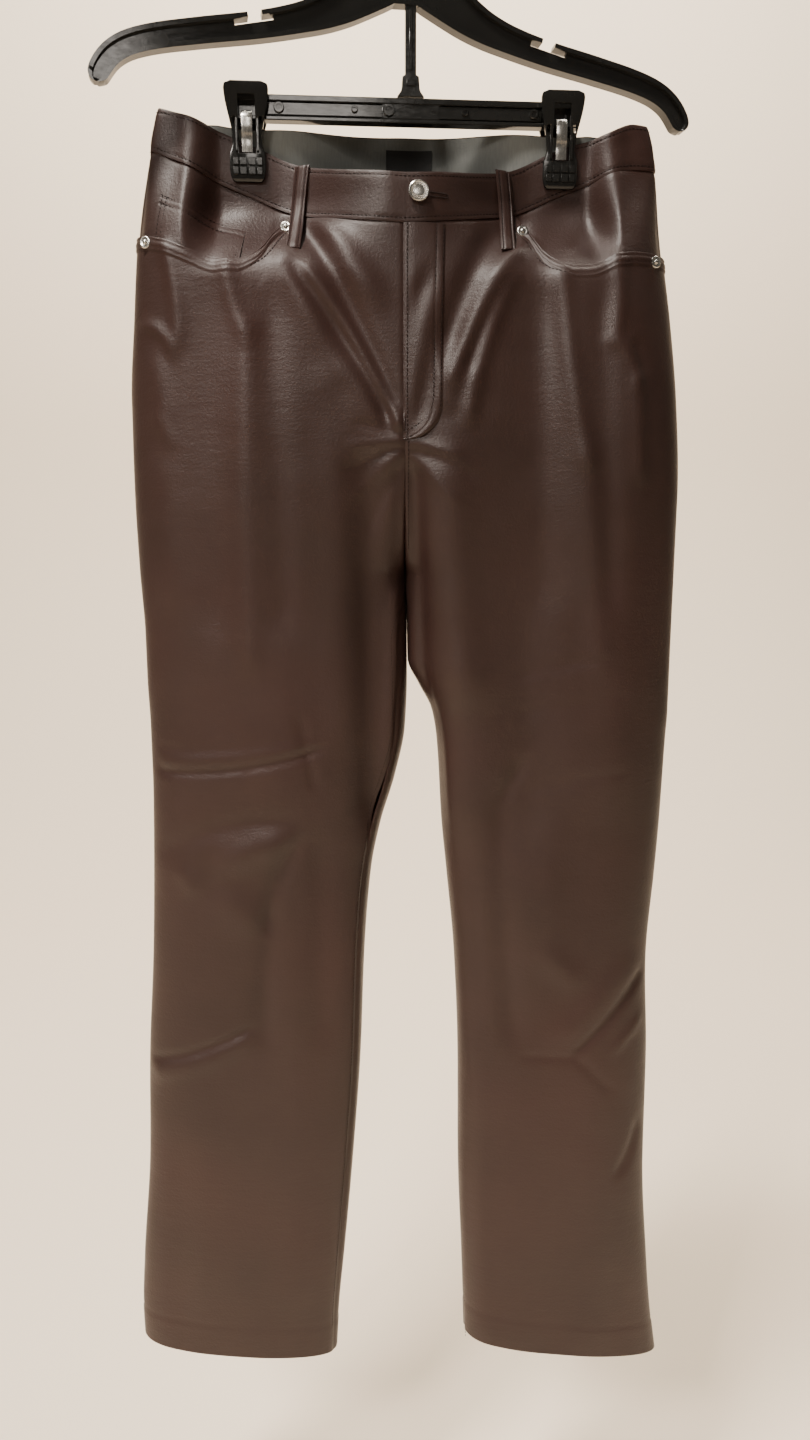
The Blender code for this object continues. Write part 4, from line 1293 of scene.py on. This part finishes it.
def prism(name, outline, y_front, y_back, middle=0.0):
    """An outline of (x, drop) points between two depths, beside the bar's middle."""
    rings = [[hung(x + middle, y, drop, CLIP_YAW) for x, drop in outline]
             for y in (y_front, y_back)]
    return loft(name, rings, sharp=30)


def box(name, x, drop, half_x, half_drop, y_front, y_back, middle=0.0):
    corners = ((1, -1), (1, 1), (-1, 1), (-1, -1))
    outline = [(x + way * half_x, drop + down * half_drop) for way, down in corners]
    return prism(name, outline, y_front, y_back, middle)


def rounded_box(*sizes, width=0.4):
    return bevelled(box(*sizes), width)


STEM_X = 4.0
BAR_TOP = 174.8
BAR_BOTTOM = 192


def make_stem():
    foot = 173.8
    outline = [(4, 112), (4, foot - 15), (6, foot - 14), (6.6, foot - 6), (7.2, foot - 4),
               (10, foot - 0.2), (-10, foot - 0.2), (-7.2, foot - 4), (-6.6, foot - 6),
               (-6, foot - 14), (-4, foot - 15), (-4, 112)]
    block = prism("stem_block", [(x + STEM_X, drop) for x, drop in outline], -3.2, 3.2)
    bevelled(block, 0.5)
    rib = rounded_box("stem_rib", STEM_X, 136, 1.2, 20, -4.0, -2.9)
    latch = rounded_box("stem_latch", STEM_X, foot - 9.5, 3.2, 2.2, -4.2, -2.9)
    made = join("hanger_stem_moulding", [block, rib, latch])
    finish_piece(made, "black_plastic", "hanger_stem")


def make_bar():
    """A channel bar: a rim all round, a sunk web, a raised inner rib and round bosses."""
    end = CLIP_X + 13
    middle = (BAR_TOP + BAR_BOTTOM) / 2
    half = (BAR_BOTTOM - BAR_TOP) / 2
    parts = [rounded_box("rim_top", 0, BAR_TOP + 2.2, end, 2.2, -4.5, 4.5, width=0.7),
             rounded_box("rim_foot", 0, BAR_BOTTOM - 1.4, end, 1.4, -4.5, 4.5, width=0.6),
             rounded_box("web", 0, middle, end - 0.5, half - 1, -1.4, 1.4)]
    for y0, y1 in ((-3.4, -1.2), (1.2, 3.4)):
        parts.append(rounded_box("plate", 0, middle + 0.5, end - 27, 4.3, y0, y1, width=0.5))
        parts.append(rounded_box("pad", 4, middle + 0.5, 21, 5.1, y0 - 0.4, y1 + 0.4, width=0.4))
    for x, radius in ((-12, 4.4), (-37, 2.4), (44, 2.6), (95, 3.4), (-92, 3.8)):
        profile = ((radius, 0), (radius, 2.4), (radius - 0.5, 2.9), (radius * 0.55, 2.9),
                   (radius * 0.5, 2.2), (radius * 0.2, 2.2))
        parts.append(turned("boss", hung(x, -2.2, middle, CLIP_YAW), FORWARD, profile, 32))
    made = join("clip_bar_moulding", parts)
    finish_piece(made, "black_plastic", "clip_bar")


Clip = namedtuple("Clip", "drop half_width depth wall")
CLIP_ROWS = rows_of(
    Clip,
    (170.2, 11.6, 14.2, 1.9), (170.7, 13.8, 14.3, 2.4), (172, 15.4, 14.1, 2.9),
    (174.5, 16, 13.7, 3.2), (181, 15.4, 12.3, 3.3), (188, 14, 10.8, 3.4),
    (195, 12.3, 9.4, 3.5), (202, 11, 8.4, 3.6), (209, 10.7, 7.8, 3.5),
    (213, 11.6, 7.7, 3.5), (217, 12.8, 7.7, 3.4), (226, 13, 7.6, 3.3),
    (231, 12.4, 7.3, 3.1), (233.8, 11.2, 6.9, 2.6), (235, 9.8, 6.2, 1.9),
)


def jaw_rings(middle, way):
    """Rounded sections across a jaw, from its thumb end down to its gripping foot."""
    radius = 0.9
    rings = []
    for drop in np.linspace(CLIP_ROWS[0].drop, CLIP_ROWS[-1].drop, 46):
        half, depth, wall = (float(column(CLIP_ROWS, name, drop))
                             for name in ("half_width", "depth", "wall"))
        ring = []
        for corner, (corner_x, corner_y) in enumerate(((1, 1), (1, -1), (-1, -1), (-1, 1))):
            for step in range(4):
                quarter = math.pi / 2 * (step / 3)
                turn = math.pi / 2 - (quarter + corner * math.pi / 2)
                x = corner_x * (half - radius) + radius * math.cos(turn)
                y = depth - wall / 2 + corner_y * (wall / 2 - radius) + radius * math.sin(turn)
                ring.append(hung(x + middle, way * y, drop, CLIP_YAW))
        rings.append(ring)
    return rings


def make_clip(side):
    middle = SIGN[side] * CLIP_X
    front = loft("jaw", jaw_rings(middle, -1), sharp=40)
    cutters = [box("slot", 0, 197, 6.2, 19, -22, -3, middle)]
    for x in (-9.6, 9.6):
        cutters.append(box("window", x, 194.5, 1.4, 2.6, -22, -3, middle))
    cut(front, cutters)
    parts = [bevelled(front, 0.35, angle=40)]
    for drop in (221.5, 227.9):
        for x, half in ((-8.6, 2.0), (-3.2, 2.5), (3.2, 2.5), (8.6, 2.0)):
            parts.append(rounded_box("pad", x, drop, half, 2.6, -8.7, -7.2, middle, width=0.35))
    for x in (-7.6, 7.6):
        parts.append(rounded_box("rail", x, 204, 0.9, 11, -9.9, -6.4, middle, width=0.35))
    made = join(f"clip_front_jaw_{side}_moulding", parts)
    finish_piece(made, "black_plastic", f"clip_front_jaw_{side}")
    back = loft(f"clip_back_jaw_{side}_moulding", jaw_rings(middle, 1), sharp=40)
    bevelled(back, 0.3, angle=40)
    finish_piece(back, "black_plastic", f"clip_back_jaw_{side}")
    make_spring(side, middle)


SPRING = ((187.5, 7.4), (190, 9.4), (193, 10.4), (198, 10.4), (202, 9.9), (205, 9.0),
          (207, 8.6), (211, 8.5), (215.5, 8.2))


SPRING_HALF = 3.9


def make_spring(side, middle):
    """A bent strip that runs down the slot, slightly crowned across its width."""
    drops = np.linspace(SPRING[0][0], SPRING[-1][0], 50)
    depth = smooth_curve([row[0] for row in SPRING], [row[1] for row in SPRING], drops)
    points = np.array([
        [hung(x + middle, -(y + 0.35 * (1 - (x / SPRING_HALF) ** 2)), drop, CLIP_YAW)
         for x in np.linspace(-SPRING_HALF, SPRING_HALF, 9)]
        for drop, y in zip(drops, depth)])
    made = shell_object(f"clip_spring_{side}_strip", points,
                        np.broadcast_to(FORWARD, points.shape), 0.7)
    finish_piece(made, "bright_steel", f"clip_spring_{side}")


HOOK_WIRE = 3.6
HOOK_RADIUS = 21


HOOK_STEM = ((0, -77.6), (0, -73), (0, -68), (0.3, -62), (1.4, -58), (4.5, -53.5), (9.0, -47.5))


def make_hook():
    """Round wire: a straight stem, a sweep to one side, and an open round crook."""
    radius = HOOK_RADIUS + HOOK_WIRE / 2
    path = list(HOOK_STEM)
    for degrees in range(-44, 191, 6):
        turn = math.radians(degrees)
        path.append((radius * math.cos(turn), radius * math.sin(turn) - HOOK_RADIUS))
    path = np.array(path)
    run = np.concatenate(([0], np.cumsum(np.linalg.norm(np.diff(path, axis=0), axis=1))))
    at = np.linspace(0, run[-1], 140)
    line = np.stack([np.interp(at, run, path[:, i]) for i in (0, 1)], axis=1)
    for _ in range(3):
        line[1:-1] = (line[:-2] + line[1:-1] + line[2:]) / 3
    along = np.gradient(line, at, axis=0)
    along = along / np.linalg.norm(along, axis=1, keepdims=True)
    rings = []
    for (x, z), (along_x, along_z), left in zip(line, along, run[-1] - at):
        wire = HOOK_WIRE / 2 * math.sqrt(max(0.04, min(1, left / 1.8)))
        ring = []
        for angle in 2 * math.pi * np.arange(20) / 20:
            out = wire * math.cos(angle)
            ring.append(hung(x - along_z * out, wire * math.sin(angle), -(z + along_x * out),
                             SHOULDER_YAW))
        rings.append(ring)
    made = loft("hanger_hook_wire", rings, sharp=60)
    finish_piece(made, "bright_steel", "hanger_hook")


def make_hanger():
    make_hook()
    make_shoulder()
    make_stem()
    make_bar()
    for side in SIGN:
        make_clip(side)


# ---------------------------------------------------------------- the studio

EYE = (0.0, -0.83, -0.49)
LENS = 26
PITCH_DOWN = math.radians(10)
FLOOR = -1.42
WALL_BACK = 2.9
SWEEP = 1.3  # radius of the curve from floor to wall
STAGE_HALF = 5


def make_camera():
    data = bpy.data.cameras.new("camera")
    data.lens = LENS
    data.sensor_width = 36
    data.sensor_fit = "AUTO"
    data.clip_start = 0.01
    camera = bpy.data.objects.new("camera", data)
    camera.location = EYE
    camera.rotation_euler = (math.pi / 2 - PITCH_DOWN, 0, 0)
    bpy.context.scene.collection.objects.link(camera)
    bpy.context.scene.camera = camera


def make_stage():
    """A pale floor that curves up into a far wall."""
    bend = WALL_BACK - SWEEP
    profile = [(-3.5, FLOOR), (bend, FLOOR)]
    for turn in np.linspace(0, math.pi / 2, 13)[1:]:
        profile.append((bend + SWEEP * math.sin(turn), FLOOR + SWEEP * (1 - math.cos(turn))))
    profile.append((WALL_BACK, 3.2))
    points = [(x, y, z) for y, z in profile for x in (-STAGE_HALF, STAGE_HALF)]
    faces = [(2 * i, 2 * i + 1, 2 * i + 3, 2 * i + 2) for i in range(len(profile) - 1)]
    mesh = bpy.data.meshes.new("studio_floor")
    mesh.from_pydata(points, [], faces)
    mesh.shade_smooth()
    mesh.materials.append(studio_finish())
    add_object("studio_floor", mesh)


def area_light(name, place_at, aim, size, power, colour, spread=180):
    data = bpy.data.lights.new(name, "AREA")
    data.shape = "RECTANGLE"
    data.spread = math.radians(spread)
    data.size, data.size_y = size
    data.energy = power
    data.color = colour
    made = bpy.data.objects.new(name, data)
    made.location = place_at
    made.rotation_euler = (Vector(aim) - Vector(place_at)).to_track_quat("-Z", "Y").to_euler()
    bpy.context.scene.collection.objects.link(made)


def make_light():
    warm = (1.0, 0.93, 0.85)
    area_light("key", (-1.15, -1.15, 2.7), (0, 0, -0.6), (0.55, 0.55), 185, warm)
    area_light("legs", (-0.9, -1.6, 0.6), (0, 0, -1.15), (0.4, 0.4), 4.5, warm, 50)
    area_light("strip", (0.02, -2.0, 0.57), (0, 0, -0.2), (0.34, 0.26), 2.2, warm)
    area_light("wall", (0, 1.0, 2.2), (0, 2.6, -0.4), (3.0, 1.0), 230, (1.0, 0.93, 0.82))
    world = bpy.data.worlds.new("studio_air")
    bpy.context.scene.world = world
    world.use_nodes = True
    sky = world.node_tree.nodes["Background"]
    sky.inputs["Color"].default_value = (0.80, 0.73, 0.64, 1)
    sky.inputs["Strength"].default_value = 0.14


make_camera()
make_stage()
make_light()
make_hanger()
make_cloth()
make_stitches()
make_studs()
